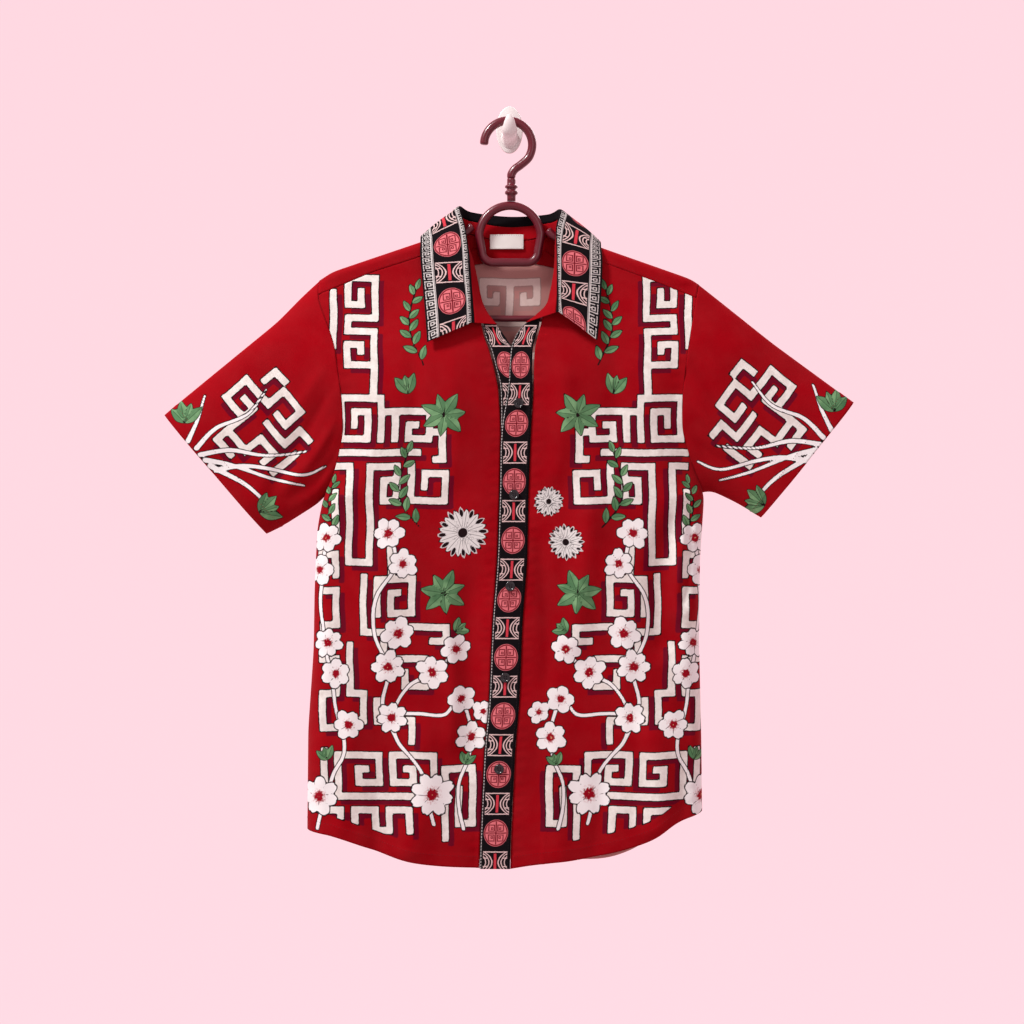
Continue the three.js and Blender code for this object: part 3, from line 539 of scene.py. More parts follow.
def line_distance(across, up, points, taper=0.0):
    """Distance from a smooth line through the points; taper mm are added at its end."""
    places = np.linspace(0, len(points) - 1, 6 * len(points))
    line = through(points, places)
    away = np.full(np.shape(across), 60.0)
    for i, ((ax, az), (bx, bz)) in enumerate(zip(line[:-1], line[1:])):
        run_x, run_z = bx - ax, bz - az
        t = np.clip(((across - ax) * run_x + (up - az) * run_z) / (run_x ** 2 + run_z ** 2), 0, 1)
        off = np.hypot(across - ax - t * run_x, up - az - t * run_z)
        away = np.minimum(away, off + taper * (2 * i / len(line) - 1))
    return away


def leaf_distance(across, up, x, z, angle, length, width):
    """Signed distance from a pointed leaf that starts at x, z, and its signed way off the vein."""
    u = (across - x) * math.cos(angle) + (up - z) * math.sin(angle)
    v = -(across - x) * math.sin(angle) + (up - z) * math.cos(angle)
    t = np.clip(u / length, 0, 1)
    edge = width / 2 * np.sin(np.pi * t ** 0.85)
    past = np.maximum(np.maximum(-u, u - length), 0)
    return np.abs(v) - edge + past, v


def keep_nearest(store, away, other):
    nearer = away < store[0]
    store[2] = np.where(nearer, store[0], np.minimum(store[2], away))
    store[0] = np.where(nearer, away, store[0])
    store[1] = np.where(nearer, other, store[1])


def print_fields(across, up, frets=(), blossoms=(), stems=(), sprigs=(), clusters=(), asters=(),
                 stem_taper=0.0):
    """How far each point of cloth lies from each kind of stroke, in mm."""
    across = across + 0.5 * np.sin(up * 0.11) + 0.3 * np.sin(across * 0.2 + up * 0.05)
    up = up + 0.5 * np.sin(across * 0.09 + 1.0)
    shape = np.shape(across)
    far = np.full(shape, 60.0)
    fret = fret_distance(across, up, frets)
    shadow = fret_distance(across + 6.5, up + 6.0, frets)
    petal, gap, heart = far.copy(), far.copy(), far.copy()
    for x, z, size, count, turn in blossoms:
        near = np.full(shape, 60.0)
        second = np.full(shape, 60.0)
        for k in range(count):
            angle = 2 * math.pi * (k / count + turn)
            reach = size * (0.56 + 0.05 * math.sin(3 * k + x))
            u = (across - x) * math.cos(angle) + (up - z) * math.sin(angle) - reach
            v = -(across - x) * math.sin(angle) + (up - z) * math.cos(angle)
            wide = size * 2.0 / count
            notch = 0.05 * size * np.exp(-(v / (0.2 * wide)) ** 2) * (u > 0)
            off = (np.hypot(u / (size * 0.41), v / wide) - 1) * wide + notch
            second = np.minimum(second, np.maximum(off, near))
            near = np.minimum(near, off)
        nearer = near < petal
        petal = np.where(nearer, near, petal)
        gap = np.where(nearer, second - near, gap)
        heart = np.minimum(heart, np.hypot(across - x, up - z) / size)
    stem = far.copy()
    for points in stems:
        stem = np.minimum(stem, line_distance(across, up, points, stem_taper))
    leaf = [far.copy(), far.copy(), far.copy()]
    twig = far.copy()
    for points, length in sprigs:
        twig = np.minimum(twig, line_distance(across, up, points))
        count = 3 * len(points)
        line = through(points, np.linspace(0, len(points) - 1, count))
        ways = np.gradient(line, axis=0)
        for k in range(1, count):
            along = math.atan2(ways[k][1], ways[k][0])
            angle = along + (0.75 if k % 2 else -0.75) * (k < count - 1)
            size = length * (1.0 - 0.25 * k / count)
            keep_nearest(leaf, *leaf_distance(across, up, *line[k], angle, size, size * 0.42))
    for x, z, length, count, turn, spread in clusters:
        for k in range(count):
            angle = 2 * math.pi * (turn + spread * k / count)
            size = length * (1.0 - 0.12 * (k % 2))
            keep_nearest(leaf, *leaf_distance(across, up, x, z, angle, size, size * 0.44))
    ray = [far.copy(), far.copy(), far.copy()]
    sepal = [far.copy(), far.copy(), far.copy()]
    for x, z, size, turn in asters:
        draw_aster(across, up, x, z, size, turn, ray, sepal)
    return {"fret": fret, "shadow": shadow, "petal": petal, "petal_gap": gap, "heart": heart,
            "stem": stem, "leaf": leaf[0], "vein": leaf[1], "leaf_gap": leaf[2] - leaf[0],
            "twig": twig,
            "ray": ray[0], "ray_line": ray[1],
            "ray_gap": ray[2] - ray[0], "sepal": sepal[0],
            "sepal_gap": sepal[2] - sepal[0]}


def draw_aster(across, up, x, z, size, turn, ray, sepal):
    """A plain aster: pale pointed rays round a dark button, with the tips of dark sepals between."""
    for k in range(ASTER_RAYS):
        angle = 2 * math.pi * (k / ASTER_RAYS + turn)
        start = (x + size * 0.14 * math.cos(angle), z + size * 0.14 * math.sin(angle))
        keep_nearest(ray, *leaf_distance(across, up, *start, angle, size * 0.86, size * 0.36))
        between = angle + math.pi / ASTER_RAYS
        start = (x + size * 0.62 * math.cos(between), z + size * 0.62 * math.sin(between))
        keep_nearest(sepal, *leaf_distance(across, up, *start, between, size * 0.42, size * 0.15))
    button = np.hypot(across - x, up - z) - size * 0.2
    keep_nearest(sepal, button, button + 9)


print("fret strokes:", sum(len(path.split()) for _, _, path in FRONT_FRETS))


# %% [markdown]
# ## Finishes of the cloth
# The batik face is a deep red ground. Over it lie the maroon shadows of the frets, their black
# outline and the unprinted white, then stems, leaves and blossoms on top. Cotton scatters light
# softly, so the shader gets some sheen and no gloss, and a fine plain weave as a bump. The
# wrong side shows the same print washed out, so the same strokes are mixed paler there.
# %% Batik cotton
RED = srgb(164, 0, 16)
RED_DEEP = srgb(140, 0, 12)
MAROON = srgb(106, 0, 30)
CLOTH_WHITE = srgb(246, 243, 236)
BLOSSOM_WHITE = srgb(248, 246, 244)
LEAF_GREEN = srgb(66, 112, 74)
LEAF_PALE = srgb(136, 184, 132)
INK = srgb(16, 11, 14)


def ground_red(place):
    """Dyed red: slightly uneven, as cloth from a dye bath is."""
    return (noise(place, 14.0, 4.0) * 1.6 - 0.3).clip().blend(RED_DEEP, RED)


def printed(place, colour):
    """The whole print over a ground colour, from the strokes stored on the cloth."""
    wobble = (noise(place, 260.0, 2.0) - 0.5) * 1.0
    fret = field(place, "fret") + wobble
    shadow = field(place, "shadow") + wobble
    petal = field(place, "petal") + wobble * 0.6
    leaf = field(place, "leaf") + wobble * 0.4
    stem = field(place, "stem") + wobble * 0.6
    mottle = (noise(place, 120.0, 5.0, 0.7) * 2.6 - 0.75).clip()
    white = mottle.blend(srgb(222, 214, 206), CLOTH_WHITE)
    colour = (shadow - FRET_HALF + 0.4).inside(1.0).blend(colour, MAROON)
    colour = (fret - FRET_HALF - 1.2).inside().blend(colour, INK)
    colour = (fret - FRET_HALF).inside().blend(colour, white)
    colour = (stem - 2.6).inside().blend(colour, INK)
    colour = (stem - 1.7).inside().blend(colour, BLOSSOM_WHITE)
    twig = field(place, "twig")
    colour = (twig - 1.0).inside().blend(colour, INK)
    shade = (noise(place, 60.0, 3.0) * 2 - 0.5).clip()
    green = shade.blend(LEAF_GREEN, LEAF_PALE)
    colour = (leaf - 0.8).inside().blend(colour, INK)
    colour = leaf.inside().blend(colour, green)
    half_leaf = (field(place, "vein") * 0.8 + 0.5).clip() * leaf.inside() * 0.55
    colour = half_leaf.blend(colour, LEAF_GREEN)
    vein = (abs(field(place, "vein")) - 0.3).inside(0.5) * (leaf + 1.0).inside()
    colour = (vein * 0.8).blend(colour, srgb(24, 60, 34))
    between = (field(place, "leaf_gap") - 0.9).inside() * leaf.inside()
    colour = between.blend(colour, INK)
    colour = (petal - 1.0).inside().blend(colour, INK)
    colour = petal.inside().blend(colour, BLOSSOM_WHITE)
    lines = (field(place, "petal_gap") - 0.9).inside() * petal.inside()
    colour = (lines * 0.85).blend(colour, srgb(70, 40, 44))
    heart = field(place, "heart") + (noise(place, 380.0) - 0.5) * 0.34
    rays = (heart - 0.36).inside(0.2) * petal.inside() * (noise(place, 500.0) - 0.42) * 3.5
    colour = rays.clip().blend(colour, srgb(196, 120, 124))
    colour = (heart - 0.25).inside(0.06).blend(colour, srgb(150, 6, 28))
    colour = (heart - 0.03).inside(0.04).blend(colour, srgb(214, 160, 120))
    ray = field(place, "ray") + wobble * 0.5
    colour = (ray - 0.9).inside().blend(colour, INK)
    colour = ray.inside().blend(colour, srgb(226, 224, 220))
    rows = (abs(field(place, "ray_line")) - 0.25).inside(0.5) * (ray + 1.2).inside()
    rows = rows.high((field(place, "ray_gap") - 0.8).inside() * ray.inside())
    colour = (rows * 0.85).blend(colour, srgb(52, 48, 52))
    sepal = field(place, "sepal") + wobble * 0.5
    colour = (sepal - 0.8).inside().blend(colour, srgb(210, 206, 204))
    colour = sepal.inside().blend(colour, INK)
    split = (field(place, "sepal_gap") - 0.7).inside() * sepal.inside()
    return (split * 0.7).blend(colour, srgb(150, 144, 144))


def seam_dust(place, shader, colour):
    """Cloth rubs paler and rougher in patches; colour and roughness follow the same patches."""
    worn = (noise(place, 32.0, 5.0, 0.65) * 2.4 - 0.8).clip()
    connect(place, (worn * 0.03).blend(colour, srgb(190, 120, 120)), shader.inputs["Base Color"])
    connect(place, worn * 0.1 + 0.82, shader.inputs["Roughness"])


batik, shader, place = new_material("batik_cotton_face", 0.86, sheen=0.02)
seam_dust(place, shader, printed(place, ground_red(place)))
weave(place, shader, 0.0011, 0.32)

batik_back, shader, place = new_material("batik_cotton_wrong_side", 0.9, sheen=0.08)
washed = printed(place, ground_red(place))
paler = place.node("ShaderNodeMix", {"data_type": "RGBA"},
                   {0: 0.56, 6: washed, 7: (*srgb(222, 178, 170), 1)}, 2)
connect(place, paler, shader.inputs["Base Color"])
weave(place, shader, 0.0011, 0.4)

plain_red, shader, place = new_material("plain_red_cotton", 0.88, sheen=0.02)
seam_dust(place, shader, ground_red(place))
weave(place, shader, 0.0011, 0.35)
print("cotton finishes:", batik.name, batik_back.name, plain_red.name)

# %% [markdown]
# The collar and the placket are cut from a black band print: pink roundels with a fret in each
# quarter, hourglass fans between them, and small square spirals along the collar's edges. It
# repeats along the band, so it is worked out in the shader from two numbers stored on the cloth:
# the way across the band and the way along it.
# %% Band print
PINK = srgb(222, 118, 124)
PINK_PALE = srgb(226, 196, 192)
BAND_BLACK = srgb(17, 13, 17)
PLACKET_PITCH = 64.0
COLLAR_PITCH = 66.0


def stroke(distance, half):
    return (abs(distance) - half).inside(0.5)


def box_edge(u, v, half_u, half_v):
    """Signed distance from a rectangle about the origin."""
    return (abs(u) - half_u).high(abs(v) - half_v)


def band_print(place, pitch, half_width, colour):
    """Roundels and fans along a band; across runs from the band's middle, along in mm."""
    across = field(place, "band_across") + (noise(place, 300.0) - 0.5) * 0.7
    along = field(place, "band_along") + (noise(place, 280.0) - 0.5) * 0.7
    near_roundel = along % pitch - pitch / 2
    near_fan = (along + pitch / 2) % pitch - pitch / 2
    round_u = across * (12.6 / half_width)
    away = (round_u * round_u + near_roundel * near_roundel * 0.72).root()
    disc = (away - 12.4).inside()
    colour = disc.blend(colour, PINK)
    colour = stroke(away - 11.4, 0.55).blend(colour, srgb(120, 20, 34))
    inner_u, inner_v = abs(round_u) - 4.6, abs(near_roundel) - 5.4
    quarter = stroke(box_edge(inner_u, inner_v, 2.9, 3.3), 0.5)
    core = stroke(box_edge(inner_u + 0.6, inner_v + 0.6, 0.8, 1.0), 0.4)
    bars = stroke(round_u, 0.6).high(stroke(near_roundel, 0.6))
    lines = quarter.high(core).high(bars) * (away - 10.6).inside()
    colour = lines.blend(colour, srgb(108, 14, 28))
    fan_u = abs(across) * (12.6 / half_width)
    fan_v = abs(near_fan)
    curve = fan_u - 3.2 - fan_v * fan_v * 0.062
    body = (fan_v - 12.0).inside() * (fan_u - 12.4).inside()
    arcs = stroke(curve, 0.65).high(stroke(curve - 3.0, 0.55)).high(stroke(curve - 6.4, 0.5))
    caps = stroke(fan_v - 11.4, 0.6) * (curve - 5.0).inside() + stroke(fan_v - 4.6, 0.5) * (
        (3.4 - curve).inside() * (curve - 8.0).inside())
    frame_line = stroke(fan_v - 8.6, 0.5) * (2.8 - curve).inside() * (curve - 7.4).inside()
    colour = ((arcs + caps + frame_line).clip() * body).blend(colour, PINK_PALE)
    middle = (fan_u - 1.3).inside() * (fan_v - 9.5).inside()
    return middle.blend(colour, srgb(206, 60, 72))


def spiral_border(place, edge, colour):
    """A row of small square spirals; edge is the way from the row's middle line."""
    along = field(place, "band_along")
    cell = along % 9.6 - 4.8
    ring = stroke(box_edge(cell, edge, 3.5, 3.5), 0.42)
    gap = (cell + 1.5).inside() * (abs(edge - 1.8) - 0.8).inside()
    hook = stroke(box_edge(cell - 0.3, edge, 1.3, 1.3), 0.4)
    tail = (abs(cell) - 0.4).inside() * (abs(edge + 2.4) - 1.2).inside()
    link = (abs(cell) - 4.9).inside() * stroke(edge + 3.5, 0.4)
    lines = ((ring * (1 - gap)) + hook + tail + link).clip()
    return lines.blend(colour, srgb(214, 208, 204))


placket_print, shader, place = new_material("band_print_placket", 0.82, sheen=0.05)
colour = band_print(place, PLACKET_PITCH, 13.0, noise(place, 40.0).blend(BAND_BLACK, INK))
edge_way = field(place, "band_across")
broken = ((field(place, "band_along") % 3.4) - 2.3).inside(0.3)
colour = (stroke(edge_way + 15.0, 0.35) * broken).blend(colour, srgb(196, 188, 186))
connect(place, colour, shader.inputs["Base Color"])
connect(place, noise(place, 50.0) * 0.12 + 0.76, shader.inputs["Roughness"])
weave(place, shader, 0.0010, 0.3)

collar_print, shader, place = new_material("band_print_collar", 0.82, sheen=0.05)
colour = band_print(place, COLLAR_PITCH, 12.6, noise(place, 40.0).blend(BAND_BLACK, INK))
across = field(place, "band_across")
side_way = abs(across) - 18.6
strip = (side_way - 5.2).inside() * (5.6 - abs(across) + 8.4).inside()
colour = spiral_border(place, side_way, strip.blend(colour, BAND_BLACK))
colour = (abs(abs(across) - 13.9) - 0.35).inside().blend(colour, srgb(190, 182, 180))
connect(place, colour, shader.inputs["Base Color"])
connect(place, noise(place, 50.0) * 0.12 + 0.76, shader.inputs["Roughness"])
weave(place, shader, 0.0010, 0.3)

band_black, shader, place = new_material("band_black_inside", 0.85, sheen=0.05)
connect(place, noise(place, 30.0, 4.0).blend(BAND_BLACK, srgb(34, 26, 31)),
        shader.inputs["Base Color"])
weave(place, shader, 0.0010, 0.35)
print("band finishes:", placket_print.name, collar_print.name)


# %% [markdown]
# ## Plain finishes
# The hanger is moulded plastic: smooth and glossy, with faint handling haze and a slightly
# darker tone where the mould flowed last. The wall hook is a milky white plastic, the buttons
# are polished resin, and the label is woven tape, left bare.
# %% Plastics, resin and tape
def moulded(name, colour, dark, roughness, coat):
    material, shader, place = new_material(name, roughness, coat=coat)
    flow = (noise(place, 18.0, 3.0) * 2 - 0.5).clip()
    specks = (noise(place, 700.0, 2.0) - 0.62).clip() * 2
    connect(place, flow.blend(specks.clip().blend(colour, dark), colour),
            shader.inputs["Base Color"])
    connect(place, noise(place, 90.0, 4.0) * 0.22 + (roughness - 0.11),
            shader.inputs["Roughness"])
    bump = place.node("ShaderNodeBump", None, {
        "Strength": 0.12, "Distance": 0.0004, "Height": noise(place, 240.0, 3.0)})
    connect(place, bump, shader.inputs["Normal"])
    return material


maroon_plastic = moulded("maroon_plastic", srgb(98, 12, 30), srgb(66, 7, 20), 0.32, 0.25)
white_plastic = moulded("white_plastic", srgb(240, 232, 229), srgb(222, 212, 208), 0.32, 0.25)
button_resin = moulded("button_resin", srgb(22, 19, 24), srgb(10, 9, 12), 0.24, 0.4)

label_tape, shader, place = new_material("label_tape", 0.8, sheen=0.1)
parts = place.node("ShaderNodeSeparateXYZ", None, {0: place})
ribs = (Value(place.tree, parts.socket.node.outputs["Z"]) * 5200.0).sine()
connect(place, noise(place, 60.0, 4.0).blend(srgb(226, 221, 214), srgb(246, 243, 238)),
        shader.inputs["Base Color"])
weave(place, shader, 0.0007, 0.4, ribs * 0.5)

thread_red, shader, place = new_material("sewing_thread_red", 0.7, sheen=0.1)
connect(place, noise(place, 300.0).blend(srgb(104, 6, 20), srgb(142, 16, 32)),
        shader.inputs["Base Color"])
thread_black, shader, place = new_material("sewing_thread_black", 0.7, sheen=0.1)
connect(place, noise(place, 300.0).blend(srgb(20, 17, 20), srgb(52, 44, 48)),
        shader.inputs["Base Color"])
print("plain finishes: 7")


# %% [markdown]
# ## The two fronts
# Each front is cut with a yoke seam at the top, a neck curve and a placket edge in the middle, an
# armhole and side seam outside and a curved hem. The grid has columns from the placket outwards,
# which stand closer where the cloth turns round the side, because that turn is tight.
# %% Shared edges of the panels
YOKE_SEAM = {
    "left": [(-50, -126), (-98.5, -146), (-152, -163)],
    "right": [(51, -130), (99.5, -151), (152, -170)],
}
BACK_YOKE_SEAM = [(-150, -183), (-80, -161), (0, -146), (80, -163), (150, -186)]
HEM = {
    "left": [(-69, -817), (-107, -813.6), (-142.5, -802), (-171.5, -791.5), (-198, -781)],
    "right": [(20, -816), (82, -810), (125, -799), (160, -788), (179, -769)],
    "back": [(-198, -784), (-175, -796), (-142, -808), (-107, -816), (0, -818), (112, -817),
             (144, -805), (160, -791), (182, -769)],
}
PLACKET_TOP = [
    (17.5, -222.5, 36, -206.5), (10.5, -230, 32, -225), (5.4, -239, 28.5, -237),
    (1.8, -250, 25.5, -250), (0, -271, 24.5, -271), (-1.6, -294, 24.5, -294),
    (-9, -343, 23, -343), (-10.5, -407, 20.5, -407), (-13, -482, 19, -482),
    (-18, -548, 14, -548), (-22, -636, 10.5, -636), (-27, -691, 6, -691),
    (-31.5, -784, 1.5, -784), (-32.5, -819.5, 0.5, -819.5),
]
PLACKET_UNDER = [
    (-32.5, -190, -14.5, -223.5), (-30.5, -215, -8.7, -231), (-26, -237, -1, -243),
    (-20.5, -250, 6, -251), (-15, -271, 12, -271), (-10, -294, 17, -294),
    (-9.4, -343, 20, -343), (-10.9, -407, 19.5, -407), (-13.4, -482, 18, -482),
    (-18.4, -548, 13, -548), (-22.4, -636, 9.5, -636), (-27.4, -691, 5, -691),
    (-31.9, -784, 0.7, -784), (-32.9, -818.5, -0.3, -818.5),
]
# The collar from the left front round the neck to the right front: where its seam, its fold and
# its edge lie, which way the leaf faces (1 forwards, -1 back) and where the stand ends.
COLLAR = [
    (-14, -223, -41, -61, -222, -90, -60, -243, 1, .06),
    (-25.5, -208, -42, -58, -203, -92, -53.5, -216, 1, .06),
    (-31, -194, -43, -55, -185, -94.5, -46.5, -190, 1, .06),
    (-37, -165, -44.5, -50, -164, -97, -41, -164, 1, .06),
    (-42, -146, -46, -44, -139, -98.5, -38, -146, 1, .08),
    (-50, -126, -50, -36, -112, -98.5, -33, -132, .6, .15),
    (-58, -113.5, -55.5, -25, -90, -97.5, -21, -122.5, 0, .4),
    (-46, -119, -42, -13, -94.5, -86, -6.5, -147, -.7, .4),
    (0, -128, 0, -9.5, -99, 0, -5.5, -150, -1, .4),
    (46, -121, 42, -13, -97, 88, -6.5, -151, -.7, .4),
    (58, -118, 56, -25, -93.5, 100, -21, -128.5, 0, .4),
    (51, -130, 52, -36, -115, 101.5, -33.5, -138, .6, .15),
    (50, -150, 53, -45, -143, 102.5, -39, -150, 1, .08),
    (48, -170, 53.5, -51, -166, 102, -42.5, -170, 1, .06),
    (42, -198, 54, -56, -187, 100.5, -48, -195, 1, .06),
    (30, -212, 54, -59, -200, 98.5, -54, -219, 1, .06),
    (18, -221, 53.5, -61.5, -210, 96, -60, -241, 1, .06),
]
YOKE_ROW = {"left": 5, "right": 11}
ARM_STEPS = 12


def arm_part(step):
    return (1 - np.cos(np.pi * np.asarray(step, float) / ARM_STEPS)) / 2


def armhole_point(hand, part):
    top, bottom = ARMHOLE[hand]
    z = mix(top, bottom, np.asarray(part, float))
    return np.stack([EDGE_X[hand](z), z], -1)


def neck_curve(places):
    return through([row[:2] for row in COLLAR], places)


def outer_edge(hand, first_step, rows):
    """Points down the armhole and the side seam, evenly spaced by length."""
    start = armhole_point(hand, arm_part(first_step))
    heights = np.linspace(start[1], HEM_Z[hand], 600)
    line = np.stack([EDGE_X[hand](heights) - OUTWARD[hand] * SEAM / 2, heights], 1)
    return soft_line(line, np.linspace(0, 1, rows), 2)


def turn_columns(width, pitch):
    """Column places from 0 to 1 across a width in mm, closer at the far end for its turn."""
    angles = np.linspace(0, np.pi / 2.15, 13)
    near_side = SIDE_ROLL * (1 - np.cos(angles))
    flat = np.linspace(0, width - near_side[-1], int((width - near_side[-1]) / pitch) + 1)
    return np.concatenate([flat[:-1], width - near_side[::-1]]) / width


def hem_fields(x, z, hem_line):
    """The turned hem is a second layer, so the cloth stands out a little over its depth."""
    order = np.argsort(hem_line[:, 0])
    below = np.interp(x, hem_line[order, 0], hem_line[order, 1])
    height = z - below
    return 0.45 * (1 - smooth((height - 12.0) / 1.6)) + 0.25 * np.exp(-((height - 12.8) / 1.1) ** 2)


STITCHES = {"red": [], "black": []}


def stitch_row(points, normals, colour, lift, pitch=3.2, length=2.2):
    """Marks raised stitches along a line of points, to be made into thread later."""
    points = np.asarray(points)
    lengths = np.concatenate([[0], np.cumsum(np.linalg.norm(np.diff(points, axis=0), axis=1))])
    starts = np.arange(pitch, lengths[-1] - pitch, pitch)
    for start in starts:
        at = [start, start + length / 2, start + length]
        path = np.stack([np.interp(at, lengths, column) for column in points.T], 1)
        normal = np.array([np.interp(start, lengths, column) for column in normals.T])
        STITCHES[colour].append((path + normal * lift, normal))


def surface_normals(points, outward):
    normals = grid_normals(points, False)
    flip = np.sum(normals * outward, axis=-1, keepdims=True) < 0
    return np.where(flip, -normals, normals)


def make_front(hand):
    out = OUTWARD[hand]
    rows = 320
    side = outer_edge(hand, 2, rows)
    down = np.linspace(0, 1, rows)
    band = PLACKET_UNDER if hand == "left" else PLACKET_TOP
    neck_rows = [5, 4, 3] if hand == "left" else [11, 12, 13, 14]
    neck = [COLLAR[row][:2] for row in neck_rows]
    clear = [SEAM * (7 if row[1] > -300 else 1) for row in band]
    edge = [(row[0] - gap, row[1]) if hand == "left" else (row[2] + gap, row[3])
            for row, gap in zip(band, clear)]
    centre = soft_line(neck + edge, down, 5)
    across = turn_columns(abs(side[-1, 0] - centre[-1, 0]), 2.1)
    top_points = YOKE_SEAM[hand] + [tuple(side[0])]
    top = soft_line(top_points, across, 8)
    bottom = soft_line([tuple(centre[-1])] + HEM[hand] + [tuple(side[-1])], across, 14)
    flat = flat_patch(top, bottom, centre, side, across, down)
    x, z = flat[..., 0], flat[..., 1]
    extra = hem_fields(x, z, bottom)
    near_band = np.exp(-((across[None] * 190 - 6) / 5) ** 2)
    pucker = 0.28 * np.sin(z * 0.52 + np.sin(z * 0.11)) * near_band
    side_pull = np.exp(-(((1 - across[None]) * 190 - 9) / 8) ** 2)
    pucker = pucker + 0.3 * np.sin(z * 0.36 + 2 * np.sin(z * 0.07)) * side_pull
    waves = 3.2 * np.sin(x * 0.052 + out) * smooth((-z - 700) / 130)
    points = cloth("front", x, z, extra + pucker + waves * (np.abs(x) > 36))
    reach = (x - MIDDLE_X) * out
    fields = print_fields(reach, z, FRONT_FRETS, FRONT_BLOSSOMS, FRONT_STEMS, FRONT_SPRIGS,
                          FRONT_CLUSTERS, FRONT_ASTERS[hand])
    print_limits(fields, z, bottom, x)
    outward = np.array([0, -1, 0])
    piece = wall(f"front_{hand}_cloth", points, outward, [batik, batik_back], fields)
    normals = surface_normals(points, outward)
    height = 12.4
    for row_line in stitch_line_above(points, normals, z, bottom, x, height):
        stitch_row(*row_line, "red", CLOTH / 2 + 0.12)
    return piece


def print_limits(fields, z, hem_line, x):
    """The print stops above the hem; below it the cloth is plain red."""
    order = np.argsort(hem_line[:, 0])
    below = np.interp(x, hem_line[order, 0], hem_line[order, 1])
    margin = 26.0 - (z - below)
    for key in ("fret", "shadow"):
        fields[key] = np.maximum(fields[key], margin)
    return fields


def stitch_line_above(points, normals, z, hem_line, x, height):
    """The line of points that lie a height above the hem, one in each column."""
    order = np.argsort(hem_line[:, 0])
    line, up = [], []
    for column in range(0, points.shape[1]):
        below = np.interp(x[:, column], hem_line[order, 0], hem_line[order, 1])
        over = (z[:, column] - below)[::-1]
        at = np.interp(height, over, np.arange(len(over))[::-1].astype(float))
        low = int(min(at, points.shape[0] - 2))
        t = at - low
        line.append(mix(points[low, column], points[low + 1, column], t))
        up.append(normals[low, column])
    return [(np.array(line), np.array(up))]


front_pieces = {hand: make_front(hand) for hand in ("left", "right")}
for hand, piece in front_pieces.items():
    body_piece(piece, "red_batik", f"front_{hand}")


# %% [markdown]
# ## The back
# One panel from side seam to side seam. It hangs flatter than the fronts, with a long soft trough
# down its middle and a few folds that fall from the shoulder blades.
# %% Back panel
def make_back():
    rows = 280
    left = outer_edge("left", 3, rows)
    right = outer_edge("right", 3, rows)
    down = np.linspace(0, 1, rows)
    half = turn_columns(214, 2.4)
    across = np.concatenate([(1 - half[::-1]) / 2, 0.5 + half[1:] / 2])
    top = soft_line([tuple(left[0])] + BACK_YOKE_SEAM + [tuple(right[0])], across, 10)
    bottom = soft_line([tuple(left[-1])] + HEM["back"] + [tuple(right[-1])], across, 14)
    flat = flat_patch(top, bottom, left, right, across, down)
    x, z = flat[..., 0], flat[..., 1]
    extra = hem_fields(x, z, bottom)
    waves = 2.8 * np.sin(x * 0.047 + 0.8) * smooth((-z - 690) / 130)
    points = cloth("back", x, z, extra + waves)
    reach = np.abs(x - MIDDLE_X)
    fields = print_fields(reach, z, FRONT_FRETS, FRONT_BLOSSOMS, FRONT_STEMS, FRONT_SPRIGS,
                          FRONT_CLUSTERS)
    middle = print_fields(x, z, BACK_FRETS, BACK_BLOSSOMS)
    for key in ("fret", "shadow"):
        fields[key] = np.minimum(fields[key], middle[key])
    nearer = middle["petal"] < fields["petal"]
    for key in ("petal", "petal_gap", "heart"):
        fields[key] = np.where(nearer, middle[key], fields[key])
    print_limits(fields, z, bottom, x)
    outward = np.array([0, 1, 0])
    piece = wall("back_cloth", points, outward, [batik, batik_back], fields)
    normals = surface_normals(points, outward)
    for row_line in stitch_line_above(points, normals, z, bottom, x, 12.4):
        stitch_row(*row_line, "red", CLOTH / 2 + 0.12)
    return piece


back_piece = body_piece(make_back(), "red_batik", "back")


# %% [markdown]
# ## The yoke
# The yoke lies over both shoulders in one piece. Its grid runs from the neck outwards, and round
# from the left front seam over the ridge, along the back seam and over the other ridge. Over a
# shoulder a point is best named by how far it has fallen below the ridge, so the patches there
# are laid out in that measure.
# %% Yoke
def shoulder_patch(hand, side, across, steps):
    """Points over one shoulder, from its ridge out to the seam; rows run away from the ridge."""
    row = YOKE_ROW[hand]
    ridge_row = row + 1 if hand == "left" else row - 1
    direction = (-1 if side == "front" else 1) * (1 if hand == "left" else -1)
    down = np.linspace(0, 1, steps)
    neck = neck_curve(ridge_row + direction * down)
    last = 2 if side == "front" else 3
    arm = armhole_point(hand, arm_part(last * down))
    if side == "front":
        seam = soft_line(YOKE_SEAM[hand] + [tuple(arm[-1])], across, 8)
    else:
        seam = mix(neck[-1], arm[-1], across[:, None])
    top = mix(neck[0], arm[0], across[:, None])
    as_fall = lambda line: np.stack([line[:, 0], fall(line[:, 0], line[:, 1])], 1)
    top = np.stack([top[:, 0], np.zeros(len(across))], 1)
    flat = flat_patch(top, as_fall(seam), as_fall(neck), as_fall(arm), across, down)
    flat[0, :, 1] = 0
    x = flat[..., 0]
    z = ridge(x) - np.maximum(flat[..., 1], 0)
    return cloth(side, x, z)


